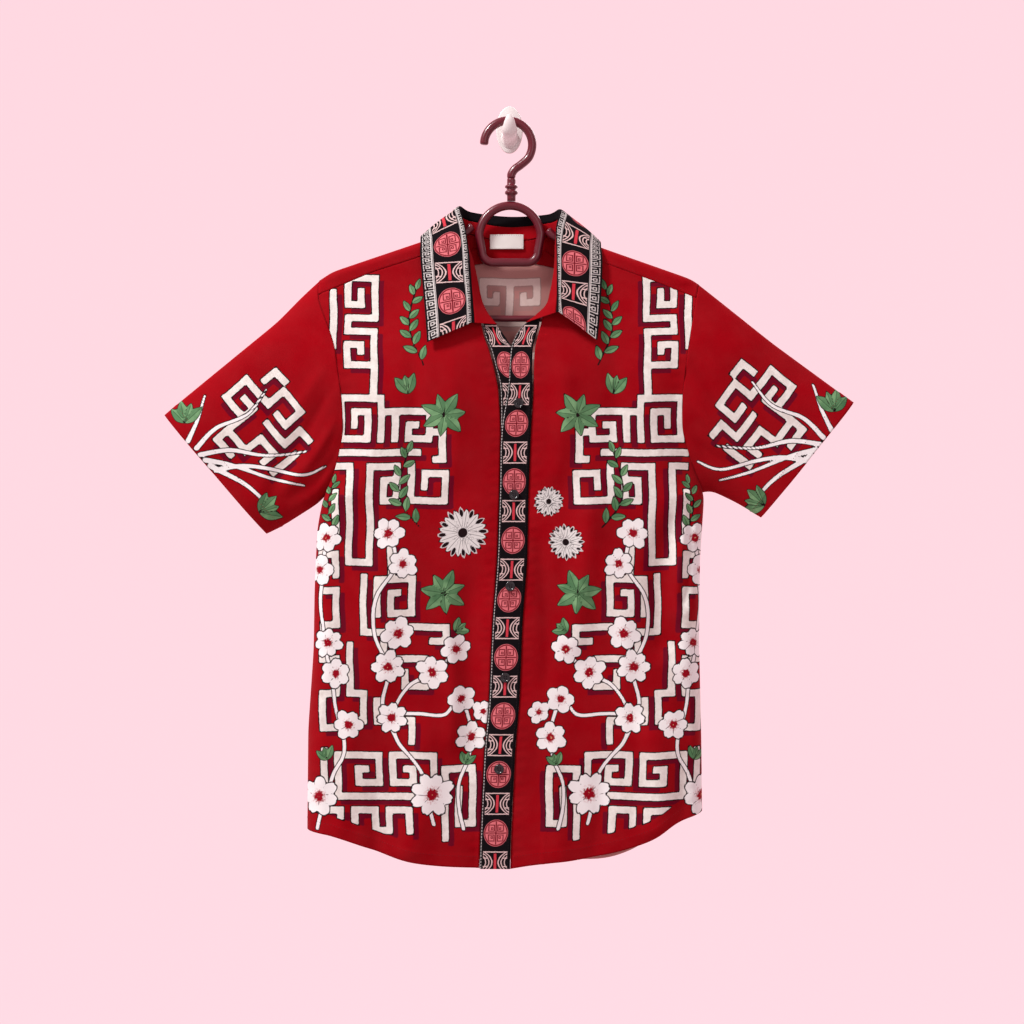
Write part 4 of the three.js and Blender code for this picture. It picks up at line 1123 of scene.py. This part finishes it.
def make_yoke():
    across = np.linspace(0, 1, 68)
    steps = 16
    grids = [shoulder_patch("left", "front", across, steps)[::-1],
             shoulder_patch("left", "back", across, steps)[1:]]
    parts = np.linspace(0, 1, 170)
    left = armhole_point("left", arm_part(3))
    right = armhole_point("right", arm_part(3))
    seam = soft_line([tuple(left)] + BACK_YOKE_SEAM + [tuple(right)], parts, 10)
    neck = neck_curve(mix(7.0, 9.0, parts))
    flat = mix(neck[:, None], seam[:, None], across[None, :, None])
    blend_in = np.minimum(parts, 1 - parts)
    back = cloth("back", flat[..., 0], flat[..., 1])
    grids += [back[1:-1]]
    grids += [shoulder_patch("right", "back", across, steps)[::-1],
              shoulder_patch("right", "front", across, steps)[1:]]
    points = np.concatenate(grids)
    lift = np.zeros(points.shape[:2])
    pucker = 0.22 * np.sin(np.arange(len(points))[:, None] * 0.9)
    lift += pucker * np.exp(-((1 - across[None]) * 190 / 5) ** 2)
    normals = grid_normals(points, False)
    centre = np.array([0, HANGER_Y, -190.0])
    if np.sum(normals * (points - centre)) < 0:
        normals = -normals
    points = points + normals * (lift[..., None] + 0.35)
    piece = wall("yoke_cloth", points, points - centre, [plain_red, plain_red])
    for rows in (points[1:3], points[-3:-1]):
        stitch_row(rows.mean(0), normals[2] if rows is points[1:3] else normals[-3], "red",
                   CLOTH / 2 + 0.1)
    inset = 3
    edge = points[2 * steps:-2 * steps, -1 - inset]
    stitch_row(edge, normals[2 * steps:-2 * steps, -1 - inset], "red", CLOTH / 2 + 0.1)
    return piece, back


yoke_piece, yoke_back_points = make_yoke()
body_piece(yoke_piece, "red_cotton", "yoke")

# The inner yoke lies against the inside of the outer one.
facing_points = yoke_back_points[50:-50:2, ::2] + np.array([0, -1.1, 0])
facing_piece = wall("yoke_facing_cloth", facing_points, np.array([0, -1, 0]),
                    [plain_red, plain_red])
body_piece(facing_piece, "red_cotton", "yoke_facing")


# %% [markdown]
# ## The sleeves
# A sleeve is a flattened tube that stands out from the armhole along the arm. Rows run from the
# armhole to the cuff, columns all round. Creases fan out of the underarm, where a sleeve that
# hangs empty always folds.
# %% Sleeves
SLEEVE = {
    "left": ([(-211, -172.5), (-230, -190), (-257, -218), (-299, -252.5), (-365, -307),
              (-382, -322)], [(-206, -411), (-213, -419), (-250, -443), (-269.5, -452.5)]),
    "right": ([(210, -176.5), (231.5, -193.6), (291.6, -242), (381, -308)],
              [(216, -407), (225, -404.6), (252, -418), (279, -434.5)]),
}


def sleeve_crease(hand, c, r, side):
    """Creases from the underarm, given as turns of c about it."""
    lift = np.zeros(np.broadcast(c, r).shape)
    creases = ((0.62, 0.16, 3.2), (0.74, 0.10, -2.6), (0.50, 0.30, -2.2), (0.86, 0.07, 2.0),
               (0.34, 0.5, 1.8)) if side < 0 else (
               (0.60, 0.2, -2.8), (0.76, 0.1, 2.4), (0.42, 0.34, 2.0))
    for start, tilt, height in creases:
        bend = 0.06 * np.sin(4 * r + 9 * start) + (0.05 if hand == "left" else -0.03)
        away = (c - start - bend - tilt * (r - 0.1)) / (0.035 + 0.05 * r)
        lift += height * np.exp(-away * away) * smooth(r * 5) * smooth((1 - r) * 2.2 + 0.25)
    return lift


def make_sleeve(hand):
    out = OUTWARD[hand]
    top, under = SLEEVE[hand]
    down = np.linspace(0, 1, 86)
    parts = arm_part(np.linspace(0, ARM_STEPS, 112))
    arm = armhole_point(hand, parts)
    cuff = soft_line([top[-1], under[-1]], parts, 1)
    flat = flat_patch(arm, cuff, soft_line(top, down, 8), soft_line(under, down, 6), parts, down)
    r = down[:, None]
    base_y = mix(middle_y(arm[:, 0], arm[:, 1])[None], CUFF_Y, r)
    half = mix(ARMHOLE_HALF, CUFF_HALF, r) * tube_shape(parts)[None]
    half = half * (1 - 0.10 * np.sin(np.pi * parts)[None] * smooth(r * 2) * (1 - 0.6 * r))
    x = flat[..., 0] + out * SEAM / 2 * (r == 0)
    z = flat[..., 1]
    faces = []
    for sign in (-1, 1):
        inside = np.sin(np.pi * np.clip(parts, 0, 1))[None] ** 0.5
        lift = sleeve_crease(hand, parts[None], r, sign) * inside
        lift = lift + ripple(x * 1.3, z * 1.2) * 1.3 * inside
        lift = lift + 0.7 * np.sin(parts[None] * 40) * np.exp(-(r / 0.035) ** 2) * inside
        cuff_wave = 1.6 * np.sin(parts[None] * 11 + out) * smooth(r * 3 - 1.8) * inside
        y = base_y + sign * (half + lift + cuff_wave)
        faces.append(np.stack([x, y, z], -1))
    front_face, back_face = faces
    points = np.concatenate([front_face, back_face[:, -2:0:-1]], 1)
    up = np.array(top[0]) - np.array(top[-1])
    up = up / np.linalg.norm(up)
    cross = np.array(under[-1]) - np.array(top[-1])
    cross = cross / np.linalg.norm(cross)
    from_cuff = np.stack([x - top[-1][0], z - top[-1][1]], -1)
    above = from_cuff @ up
    below = -(from_cuff @ cross)
    fields = print_fields(above, below, SLEEVE_FRETS, (), SLEEVE_STEMS, (), SLEEVE_CLUSTERS, (),
                          0.9)
    fields = {key: np.concatenate([value, value[:, -2:0:-1]], 1)
              for key, value in fields.items()}
    above_all = np.concatenate([above, above[:, -2:0:-1]], 1)
    hem = 0.4 * (1 - smooth((above_all - 17.0) / 1.5)) + 0.3 * np.exp(
        -((above_all - 17.6) / 1.2) ** 2)
    outward = points - points.mean(1, keepdims=True)
    normals = grid_normals(points, True)
    normals = np.where(np.sum(normals * outward, -1, keepdims=True) < 0, -normals, normals)
    points = points + normals * hem[..., None]
    piece = wall(f"sleeve_{hand}_cloth", points, outward, [batik, batik_back], fields,
                 closed=True)
    line, ups = [], []
    for column in range(points.shape[1]):
        at = np.interp(16.8, above_all[::-1, column], np.arange(len(down))[::-1].astype(float))
        low = int(min(at, len(down) - 2))
        line.append(mix(points[low, column], points[low + 1, column], at - low))
        ups.append(normals[low, column])
    stitch_row(np.array(line), np.array(ups), "red", CLOTH / 2 + 0.12)
    return body_piece(piece, "red_batik", f"sleeve_{hand}")


sleeve_pieces = {hand: make_sleeve(hand) for hand in ("left", "right")}


# %% [markdown]
# ## Placket, stand and collar
# The placket is a straight doubled band that follows the front's form. The collar is one band
# too, but it turns: out of the stand it rises to a fold, rolls over and falls as a leaf that
# comes to a point at each front. A section is drawn at many places round the neck, from tables
# of where the fold and the edge lie, and the sections are joined.
# %% Placket bands
BAND = 0.9
BAND_STEP = (1.2 + 1.4) / 2 + SEAM     # how far bands stand over the cloth of the solids


def make_placket(name, rows, top_row, lift, node):
    places = np.linspace(0, len(rows) - 1, 330)
    table = through(rows, places)
    across = np.linspace(0, 1, 17)
    left, right = table[:, :2], table[:, 2:]
    flat = mix(left[:, None], right[:, None], across[None, :, None])
    top = soft_line(top_row, across, 2)
    fade = np.exp(-np.arange(len(places)) / 5.0)[:, None, None]
    flat = mix(flat, flat + (top - flat[0])[None], fade)
    x, z = flat[..., 0], flat[..., 1]
    edge = np.minimum(across, 1 - across)[None] * 32
    fold_round = -0.35 * np.exp(-edge / 0.8)
    soft = 0.35 * np.sin(z * 0.045 + 3 * across[None]) * np.sin(z * 0.017)
    pull = 0.0
    for height in BUTTON_Z:
        pull = pull - 0.5 * np.exp(-((z - height) / 9) ** 2 - ((across[None] - 0.5) / 0.3) ** 2)
    points = cloth("front", x, z, lift + fold_round + soft + (pull if lift else 0))
    width = np.linalg.norm(right - left, axis=1)[:, None]
    fields = {"band_across": (across[None] - 0.5) * 32 + 0 * width,
              "band_along": -z - 236.0}
    outward = np.array([0, -1, 0])
    piece = wall(name, points, outward, [placket_print, band_black], fields, BAND)
    normals = surface_normals(points, outward)
    for column in (1, 15):
        stitch_row(mix(points[4:-2, column], points[4:-2, column + (1 if column == 1 else -1)],
                       0.3), normals[4:-2, column], "black", BAND / 2 + 0.08)
    return body_piece(piece, "black_band_print", node), points


BUTTON_Z = (-310, -410, -510, -610, -710)
make_placket("placket_under_band", PLACKET_UNDER,
             [(-32.5, -190), (-26, -208.6), (-14.5, -223.5)], 0.1, "placket_under")
top_band, top_points = make_placket(
    "placket_top_band", PLACKET_TOP, [(17.5, -222.5), (30, -213.2), (36, -206.5)],
    1.4 + SEAM, "placket_top")

# %% Collar sections
COLLAR_TURN = 1.7


def collar_section(place):
    """One section: the foot of the stand, its top, then round the fold and down the leaf."""
    (seam_x, seam_z, fold_x, fold_y, fold_z, edge_x, edge_y, edge_z, facing, roll) = through(
        COLLAR, place)
    step = BAND_STEP
    lap = 1.7 if seam_x > 0 else 0.0
    foot = cloth("front" if facing > 0 else "back", seam_x, seam_z) + np.array([
        0, -(step + lap) * max(0, facing),
        step * (1 - abs(facing)) + 0.7 * max(0, -facing)])
    fold = np.array([fold_x, fold_y, fold_z])
    edge = np.array([edge_x, edge_y, edge_z])
    outward = np.array([np.sign(fold_x) * 0.7 * (1 - abs(facing)), -facing,
                        0.7 * (1 - abs(facing))])
    height = np.linalg.norm(fold - foot)
    inner = mix(fold, foot, max(roll, 1.5 * COLLAR_TURN / height))
    stand_top = mix(inner, foot, 2 * SEAM / np.linalg.norm(inner - foot))
    inside = mix(fold, foot, COLLAR_TURN / height)
    leaf = lambda t: mix(fold, edge, t) + outward * 8 * t * (1 - t)
    outside = leaf(0.05) + outward
    path = [inner, inside, fold, outside, leaf(0.25), leaf(0.5), leaf(0.75), edge]
    return foot, stand_top, np.array(path), np.linalg.norm(edge - fold)


def make_collar():
    places = np.linspace(0, 16, 300)
    sections = [collar_section(place) for place in places]
    leaf_rows = 46
    fine = np.concatenate([np.linspace(0, 1, 4), np.linspace(1, 3, 12)[1:],
                           np.linspace(3, 7, leaf_rows)[1:]])
    points, wide, along = [], [], [0.0]
    for i, (foot, stand_top, path, length) in enumerate(sections):
        line = through(path, fine)
        points.append(line)
        wide.append(length)
        if i:
            middle = (path[5] + path[4]) / 2
            before = (sections[i - 1][2][5] + sections[i - 1][2][4]) / 2
            along.append(along[-1] + np.linalg.norm(middle - before))
    points, wide, along = np.array(points), np.array(wide), np.array(along)
    to_fold = (fine - 2) / 5
    down_leaf = np.clip(to_fold, 0, 1)[None] * wide[:, None]
    across = 25.0 - (wide[:, None] - down_leaf)
    across = np.where(fine[None] < 2, -25.0 - (2 - fine[None]) * 8, across)
    outward = grid_normals(points, False)
    centre = np.array([4.0, -28.0, -170.0])
    if np.sum(outward[:, 20:] * (points[:, 20:] - centre)) < 0:
        outward = -outward
    bend = 0.55 * np.sin(along[:, None] * 0.043) * np.sin(down_leaf * 0.06)
    rim = -0.3 * np.exp(-(wide[:, None] - down_leaf) / 0.9)
    stitched = -0.22 * np.exp(-(((wide[:, None] - down_leaf) - 5.2) / 0.9) ** 2)
    points = points + outward * (bend + rim + stitched)[..., None] * (fine[None, :, None] > 2.5)
    fields = {"band_across": across, "band_along": np.repeat(along[:, None], len(fine), 1)}
    piece = wall("collar_leaf", points, outward, [collar_print, collar_print], fields, BAND)
    body_piece(piece, "black_band_print", "collar")
    out = outward
    near_edge = len(fine) - 4
    stitch_row(points[2:-2, near_edge], out[2:-2, near_edge], "black", BAND / 2 + 0.08)
    for end in (3, -4):
        stitch_row(points[end, 20:-3], out[end, 20:-3], "black", BAND / 2 + 0.08)
    stand = np.array([[mix(foot, top, t) for t in np.linspace(0, 1, 14)]
                      for foot, top, _, _ in sections])
    stand_piece = wall("collar_stand_band", stand, grid_normals(stand, False),
                       [plain_red, plain_red], None, BAND)
    body_piece(stand_piece, "red_cotton", "collar_stand")
    return along[-1], wide.mean()


collar_length, collar_width = make_collar()
print(f"collar: {collar_length:.0f} mm round, {collar_width:.0f} mm deep")

# %% [markdown]
# ## Label, buttons and thread
# The label is a bare woven tape, folded under at its ends and sewn to the inside of the back
# neck. The buttons are turned discs with a raised rim and four holes; a lathe profile gives the
# rim, and the holes are cut as small wells that thread crosses.
# %% Label
def make_label():
    u = np.linspace(0, 1, 40)[None]
    v = np.linspace(0, 1, 22)[:, None]
    x = mix(-21.8, 15.7, u) + 0 * v
    z = mix(-119.7, -135.9, v) + 0 * u
    end = np.minimum(u, 1 - u)
    y = -18.5 + 0.25 * np.sin(u * 7) - 0.3 * smooth(end * 12) + 0 * v
    piece = wall("neck_label_tape", np.stack([x, y, z], -1), np.array([0, -1, 0]), [label_tape],
                 None, 0.6)
    row = np.stack([x[1], y[1], z[1]], -1)
    stitch_row(row, np.tile([0.0, -1, 0], (40, 1)), "black", 0.42, 2.6, 1.6)
    return body_piece(piece, "label_tape", "neck_label")


make_label()


# %% Buttons
def lathe_rings(profile, sides):
    """Rings of points about the Z axis for a profile of (radius, height) pairs."""
    angles = np.linspace(0, 2 * np.pi, sides, endpoint=False)
    ring = np.stack([np.cos(angles), np.sin(angles)], 1)
    return np.array([[(r * c, r * s, h) for c, s in ring] for r, h in profile])


def closed_rings(name, rings, materials, closed_path=False):
    """A solid skin through rings of points, with a point at the middle of each open end."""
    count, sides = rings.shape[:2]
    index = np.arange(count * sides).reshape(count, sides)
    low = index if closed_path else index[:-1]
    high = np.roll(index, -1, 0) if closed_path else index[1:]
    faces = np.stack([low, np.roll(low, -1, 1), np.roll(high, -1, 1), high], -1).reshape(-1, 4)
    faces = faces.tolist()
    vertices = rings.reshape(-1, 3)
    if not closed_path:
        middles = [rings[0].mean(0), rings[-1].mean(0)]
        start, end = len(vertices), len(vertices) + 1
        vertices = np.concatenate([vertices, middles])
        for k in range(sides):
            after = (k + 1) % sides
            faces.append([start, int(index[0, after]), int(index[0, k])])
            faces.append([end, int(index[-1, k]), int(index[-1, after])])
    return new_object(name, vertices, faces, materials)


BUTTON_PROFILE = [(0.4, -1.0), (4.6, -1.0), (5.3, -0.6), (5.5, 0.1), (5.35, 0.7), (4.9, 1.15),
                  (4.3, 1.2), (3.8, 0.85), (3.4, 0.45), (2.0, 0.35), (0.4, 0.32)]


def make_button(number, z):
    low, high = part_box(f"button_{number}")
    x = (low[0] + high[0]) / 2 / MM
    y = (low[1] + high[1]) / 2 / MM
    rings = lathe_rings(BUTTON_PROFILE, 48)
    turned = np.stack([rings[..., 0] + x, -rings[..., 2] + y, rings[..., 1] + z], -1)
    disc = closed_rings(f"button_{number}_disc", turned, [button_resin])
    body_piece(disc, "black_button", f"button_{number}")
    threads = []
    for dx, dz in ((-1.25, -1.25), (-1.25, 1.25), (1.25, -1.25), (1.25, 1.25)):
        well = lathe_rings([(0.05, 0.52), (0.55, 0.5), (0.72, 0.62), (0.85, 0.5), (0.6, 0.3)], 14)
        placed = np.stack([well[..., 0] + x + dx, -well[..., 2] + y, well[..., 1] + z + dz], -1)
        threads.append(placed)
    for k, hole in enumerate(threads):
        rim = closed_rings(f"button_{number}_hole_{k + 1}", hole, [thread_black])
        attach(outward_check(rim), "root")
    for dx in (-1.25, 1.25):
        STITCHES["black"].append((np.array([[x + dx, y - 0.55, z - 1.3], [x + dx, y - 1.0, z],
                                            [x + dx, y - 0.55, z + 1.3]]), np.array([0, -1.0, 0])))


for number, z in enumerate(BUTTON_Z, 1):
    make_button(number, z)
print("buttons:", len(BUTTON_Z))


# %% Stitches as thread
def make_thread(name, colour, material):
    """Every stitch is a short low lozenge of thread; one mesh holds all of a colour."""
    vertices, faces = [], []
    for path, normal in STITCHES[colour]:
        way = path[2] - path[0]
        way = way / max(np.linalg.norm(way), 1e-6)
        side = np.cross(way, normal)
        side = side / max(np.linalg.norm(side), 1e-6) * 0.26
        up = normal * 0.2
        first = len(vertices)
        vertices += [path[0] - up, path[1] + side, path[1] + up, path[1] - side, path[1] - up * 2,
                     path[2] - up]
        for k in range(4):
            a, b = first + 1 + k, first + 1 + (k + 1) % 4
            faces += [[first, a, b], [first + 5, b, a]]
    piece = new_object(name, vertices, faces, [material])
    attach(outward_check(piece), "root")
    print(f"{name}: {len(STITCHES[colour])} stitches")


make_thread("stitching_red", "red", thread_red)
make_thread("stitching_black", "black", thread_black)


# %% [markdown]
# ## Hanger and wall hook
# The hanger is a moulded round bar: a hook, a stem with two rings, a D-shaped ring and two arms
# that end in a thinner trouser bar. Each is a tube swept along a smooth line. The wall hook is an
# oval pad with a prong that curves up, drawn as a stack of ovals.
# %% Tubes
TUBE = 9.5
BAR = 7.2


def sweep(name, points, radii, material, node, steps, sides=32, closed=False, cap=True):
    """A round bar along a smooth line through points (x, y, z), with radii given along it."""
    if closed:
        places = np.linspace(0, len(points), steps, endpoint=False)
        padded = list(points[-2:]) + list(points) + list(points[:3])
        line = through(padded, places + 2)
        ways = np.roll(line, -1, 0) - np.roll(line, 1, 0)
    else:
        line = through(points, np.linspace(0, len(points) - 1, steps))
        ways = np.gradient(line, axis=0)
    ways = ways / np.linalg.norm(ways, axis=1, keepdims=True)
    radius = np.interp(np.linspace(0, 1, steps), np.linspace(0, 1, len(radii)), radii)
    if cap and not closed:
        tip = radius[0]
        start = line[0] + ways[0] * 0
        bevel = np.array([0.0, 0.12, 0.35, 0.7, 1.0])
        shrink = np.sqrt(1 - (1 - bevel) ** 2)
        depth = 0.45 * tip
        first = start + ways[0] * depth * bevel[:, None]
        last = line[-1] - ways[-1] * depth * bevel[::-1][:, None]
        keep_first = np.linalg.norm(line - start, axis=1) > depth * 1.2
        keep_last = np.linalg.norm(line - line[-1], axis=1) > depth * 1.2
        keep = keep_first & keep_last
        radius = np.concatenate([tip * (0.55 + 0.45 * shrink), radius[keep],
                                 radius[-1] * (0.55 + 0.45 * shrink[::-1])])
        ways = np.concatenate([np.tile(ways[0], (5, 1)), ways[keep], np.tile(ways[-1], (5, 1))])
        line = np.concatenate([first, line[keep], last])
    out_of_plane = np.array([0.0, 1.0, 0.0])
    side = np.cross(ways, out_of_plane)
    side = side / np.linalg.norm(side, axis=1, keepdims=True)
    other = np.cross(side, ways)
    angles = np.linspace(0, 2 * np.pi, sides, endpoint=False)
    rings = (line[:, None] + radius[:, None, None] * (
        np.cos(angles)[None, :, None] * side[:, None]
        + np.sin(angles)[None, :, None] * other[:, None]))
    piece = closed_rings(name, rings, [material], closed)
    return body_piece(piece, "maroon_plastic", node)


def in_plane(points):
    return [(x, HANGER_Y, z) for x, z in points]


hook_turn = [(-1.6 + 26.8 * math.cos(a), -20.7 + 26.8 * math.sin(a))
             for a in np.linspace(math.pi, -0.62, 15)]
sweep("hanger_hook_bar", in_plane(hook_turn + [(12.5, -43), (6, -47.8), (2.4, -53), (2, -56.5),
                                               (2, -58.3)]),
      [TUBE / 2], maroon_plastic, "hanger_hook", 150)

stem_heights = [-58.5, -60, -62, -64.6, -65.6, -66.4, -67.5, -68.6, -69.4, -70.4, -71.6, -72.6,
                -73.4, -74.5, -75.6, -76.4, -77.4, -80, -83.3]
stem_radii = [4.7, 4.75, 4.75, 4.8, 5.4, 6.9, 7.2, 6.9, 5.4, 5.0, 5.4, 6.9, 7.1, 7.2, 6.9, 5.4,
              4.8, 4.75, 4.7]
stem_rings = lathe_rings(list(zip(stem_radii, stem_heights)), 36) + np.array([2, HANGER_Y, 0])
body_piece(closed_rings("hanger_stem_rings", stem_rings, [maroon_plastic]), "maroon_plastic",
           "hanger_stem")

spring_z = -88.4 - 34
arch = [(0.5 - 34 * math.cos(a), spring_z + 34 * math.sin(a))
        for a in np.linspace(0, math.pi, 21)]
corner = [(0.5 + 31 - 12 + 12 * math.cos(a), -151.5 + 12 * (1 - math.sin(a)))
          for a in np.linspace(0, math.pi / 2, 6)]
foot = [(x, -151.5) for x in (12, 4, -4, -11)]
mirrored = [(1.0 - x, z) for x, z in corner[::-1]]
sweep("hanger_ring_bar", in_plane(arch + corner + foot + mirrored), [TUBE / 2], maroon_plastic,
      "hanger_ring", 220, closed=True)

ARM_END = 186
arm_ends = {}
for hand, out in OUTWARD.items():
    neck_z = float(ridge(out * 58))
    line = [(0.5 + out * 41.8, neck_z + 3.6), (out * 48, neck_z - 2.4)]
    line += [(out * x, float(ridge(out * x)) - SHOULDER_ROLL) for x in (60, 97, 140, ARM_END)]
    arm_ends[hand] = line[-1][1]
    sweep(f"hanger_arm_{hand}_bar", in_plane(line), [TUBE / 2], maroon_plastic,
          f"hanger_arm_{hand}", 90)


def bar_end(hand):
    out, z = OUTWARD[hand], arm_ends[hand]
    return [(out * (ARM_END + 0.5), z - 0.2), (out * 195, z - 4.5), (out * 198.5, z - 12),
            (out * 194, z - 20), (out * 178, z - 28.5), (out * 150, z - 38)]


bar_line = bar_end("left") + [(-110, -213), (0, -214), (110, -214)] + bar_end("right")[::-1]
sweep("hanger_trouser_bar", in_plane(bar_line), [BAR / 2], maroon_plastic, "hanger_bar", 260)


# %% Wall hook
def oval_rings(rows, sides=56):
    """Ovals (y, z, half width, half height, tilt) about a line that leaves the wall."""
    rings = []
    for y, z, half_width, half_height, tilt in rows:
        angles = np.linspace(0, 2 * np.pi, sides, endpoint=False)
        rise = half_height * np.sin(angles)
        rings.append(np.stack([half_width * np.cos(angles), y + rise * math.sin(tilt),
                               z + rise * math.cos(tilt)], 1))
    return np.array(rings)


pad_rows = [(0, 0, 13.9, 25.4, 0), (-0.25, 0, 14.6, 26.1, 0), (-0.9, 0, 15, 26.5, 0),
            (-2.0, 0, 15, 26.5, 0), (-2.7, 0, 14.6, 26.1, 0), (-3.0, 0, 13.9, 25.4, 0)]
body_piece(closed_rings("wall_hook_plate", oval_rings(pad_rows), [white_plastic]),
           "white_plastic", "wall_hook_pad")
prong_rows = [(-3.3, -9.5, 9.5, 11.5, 0), (-7, -9, 8, 9, 0), (-14, -8.2, 7.6, 8, 0.1),
              (-22, -7.2, 8, 7.6, 0.25), (-29, -5, 8.4, 6.2, 0.8), (-33.5, 0, 7, 4.4, 1.25),
              (-35.6, 5.5, 5, 3.2, 1.45), (-36.4, 10.4, 2.4, 1.6, 1.55)]
prong_line = through(prong_rows, np.linspace(0, len(prong_rows) - 1, 60))
body_piece(closed_rings("wall_hook_curve", oval_rings(prong_line), [white_plastic]),
           "white_plastic", "wall_hook_prong")
print("hanger and wall hook made")

# %% [markdown]
# ## The cut of the cloth
# Cotton hardly stretches, so the way along a hanging panel, over its folds, is the size it was cut
# to. Widths and lengths are those of the finished cloth, at a panel's widest row and longest
# column, and a share says how much of that rectangle the curved outline fills. A sleeve goes all
# round its tube. The yoke's width is its back seam, and its length is a judgement of how deep it
# would lie with its fronts unfolded. The facing is the box round it. The bands are as sewn: each
# was cut about twice as wide.
CUTS = {
    "front_left_cloth": (0.222, 0.702, 0.84), "front_right_cloth": (0.245, 0.696, 0.755),
    "back_cloth": (0.480, 0.672, 0.845), "yoke_cloth": (0.420, 0.110, 0.50),
    "yoke_facing_cloth": (0.167, 0.038, 0.37),
    "sleeve_left_cloth": (0.511, 0.227, 0.56), "sleeve_right_cloth": (0.493, 0.216, 0.55),
    "collar_stand_band": (0.379, 0.035, 0.33), "collar_leaf": (0.495, 0.082, 0.64),
    "placket_under_band": (0.039, 0.634, 0.75), "placket_top_band": (0.034, 0.616, 0.89),
    "neck_label_tape": (0.0375, 0.0162, 1.0),
}


def cloth_area(piece):
    """Half the surface of a closed thin wall is the cloth's own area."""
    return sum(face.area for face in piece.data.polygons) / 2


for name, (width, length, share) in CUTS.items():
    piece = bpy.data.objects[name]
    measured = cloth_area(piece)
    print(f"{name}: cut {width} x {length} m, cloth {measured:.4f} m2, "
          f"share {measured / (width * length):.2f}")


# %% [markdown]
# ## Room, light and camera
# The backdrop is a wide bowl of pale pink paper without a seam, so the shirt hangs in clear space
# from every side. The paper glows with painted light, bright pink behind the shirt and dim towards
# the camera, and so lights the shirt from all round. One large soft lamp stands high on the left, a
# weaker one fills from the right, and one lights the back. The camera looks straight along +Y at
# the middle of the shirt.
# %% Backdrop
def make_room():
    profile = [(0.0, -1.9), (1.5, -1.9), (3.2, -1.88), (4.4, -1.6), (5.0, -0.9), (5.2, 0.6),
               (5.2, 3.2), (4.2, 4.6), (2.0, 5.2), (0.0, 5.25)]
    line = through(profile, np.linspace(0, len(profile) - 1, 90))
    line[:, 0] = np.maximum(line[:, 0], 0.001)
    rings = lathe_rings(line, 96) / MM
    room = closed_rings("backdrop", rings, [backdrop_glowing_paper])
    return room


backdrop_glowing_paper, shader, place = new_material("backdrop_glowing_paper", 0.95)
shader.inputs["Specular IOR Level"].default_value = 0.0
shader.inputs["Base Color"].default_value = (0.16, 0.13, 0.135, 1)
# Painted light: the paper's emission glows bright pink towards the back of the bowl and dim towards
# the camera.
shader.inputs["Emission Strength"].default_value = 1.0
parts = place.node("ShaderNodeSeparateXYZ", None, {0: place})
depth_way = Value(place.tree, parts.socket.node.outputs["Y"])
behind = (depth_way * 0.28 + 0.42).clip()
glow = behind.blend((0.40, 0.32, 0.335), (0.93, 0.60, 0.66))
connect(place, glow, shader.inputs["Emission Color"])
room = make_room()

world = bpy.data.worlds.new("pale_world")
world.use_nodes = True
world.node_tree.nodes["Background"].inputs["Color"].default_value = (1.0, 0.94, 0.95, 1)
world.node_tree.nodes["Background"].inputs["Strength"].default_value = 0.6
bpy.context.scene.world = world


def lamp(name, place_at, aim, size, power, colour):
    light = bpy.data.lights.new(name, "AREA")
    light.size, light.energy, light.color = size, power, colour
    holder = bpy.data.objects.new(name, light)
    holder.location = place_at
    way = np.array(aim) - np.array(place_at)
    across = math.hypot(way[0], way[1])
    holder.rotation_euler = (math.atan2(across, -way[2]), 0, math.atan2(-way[0], way[1]))
    bpy.context.scene.collection.objects.link(holder)


lamp("key_lamp", (-1.9, -1.35, 2.1), (0, 0, -0.3), 0.6, 112, (0.97, 1.0, 0.99))
lamp("fill_lamp", (1.2, -3.0, 0.5), (0, 0, -0.3), 1.5, 8, (0.97, 1.0, 1.0))
lamp("back_lamp", (1.2, 2.6, 1.5), (0, 0, -0.4), 1.6, 34, (0.98, 1.0, 1.0))

camera_data = bpy.data.cameras.new("camera")
camera_data.sensor_width = 36
camera_data.lens = 68.8
camera = bpy.data.objects.new("camera", camera_data)
camera.location = (0.00275, -2.2, -0.429)
camera.rotation_euler = (math.pi / 2, 0, 0)
bpy.context.scene.collection.objects.link(camera)
bpy.context.scene.camera = camera
bpy.context.scene.view_settings.view_transform = "Standard"
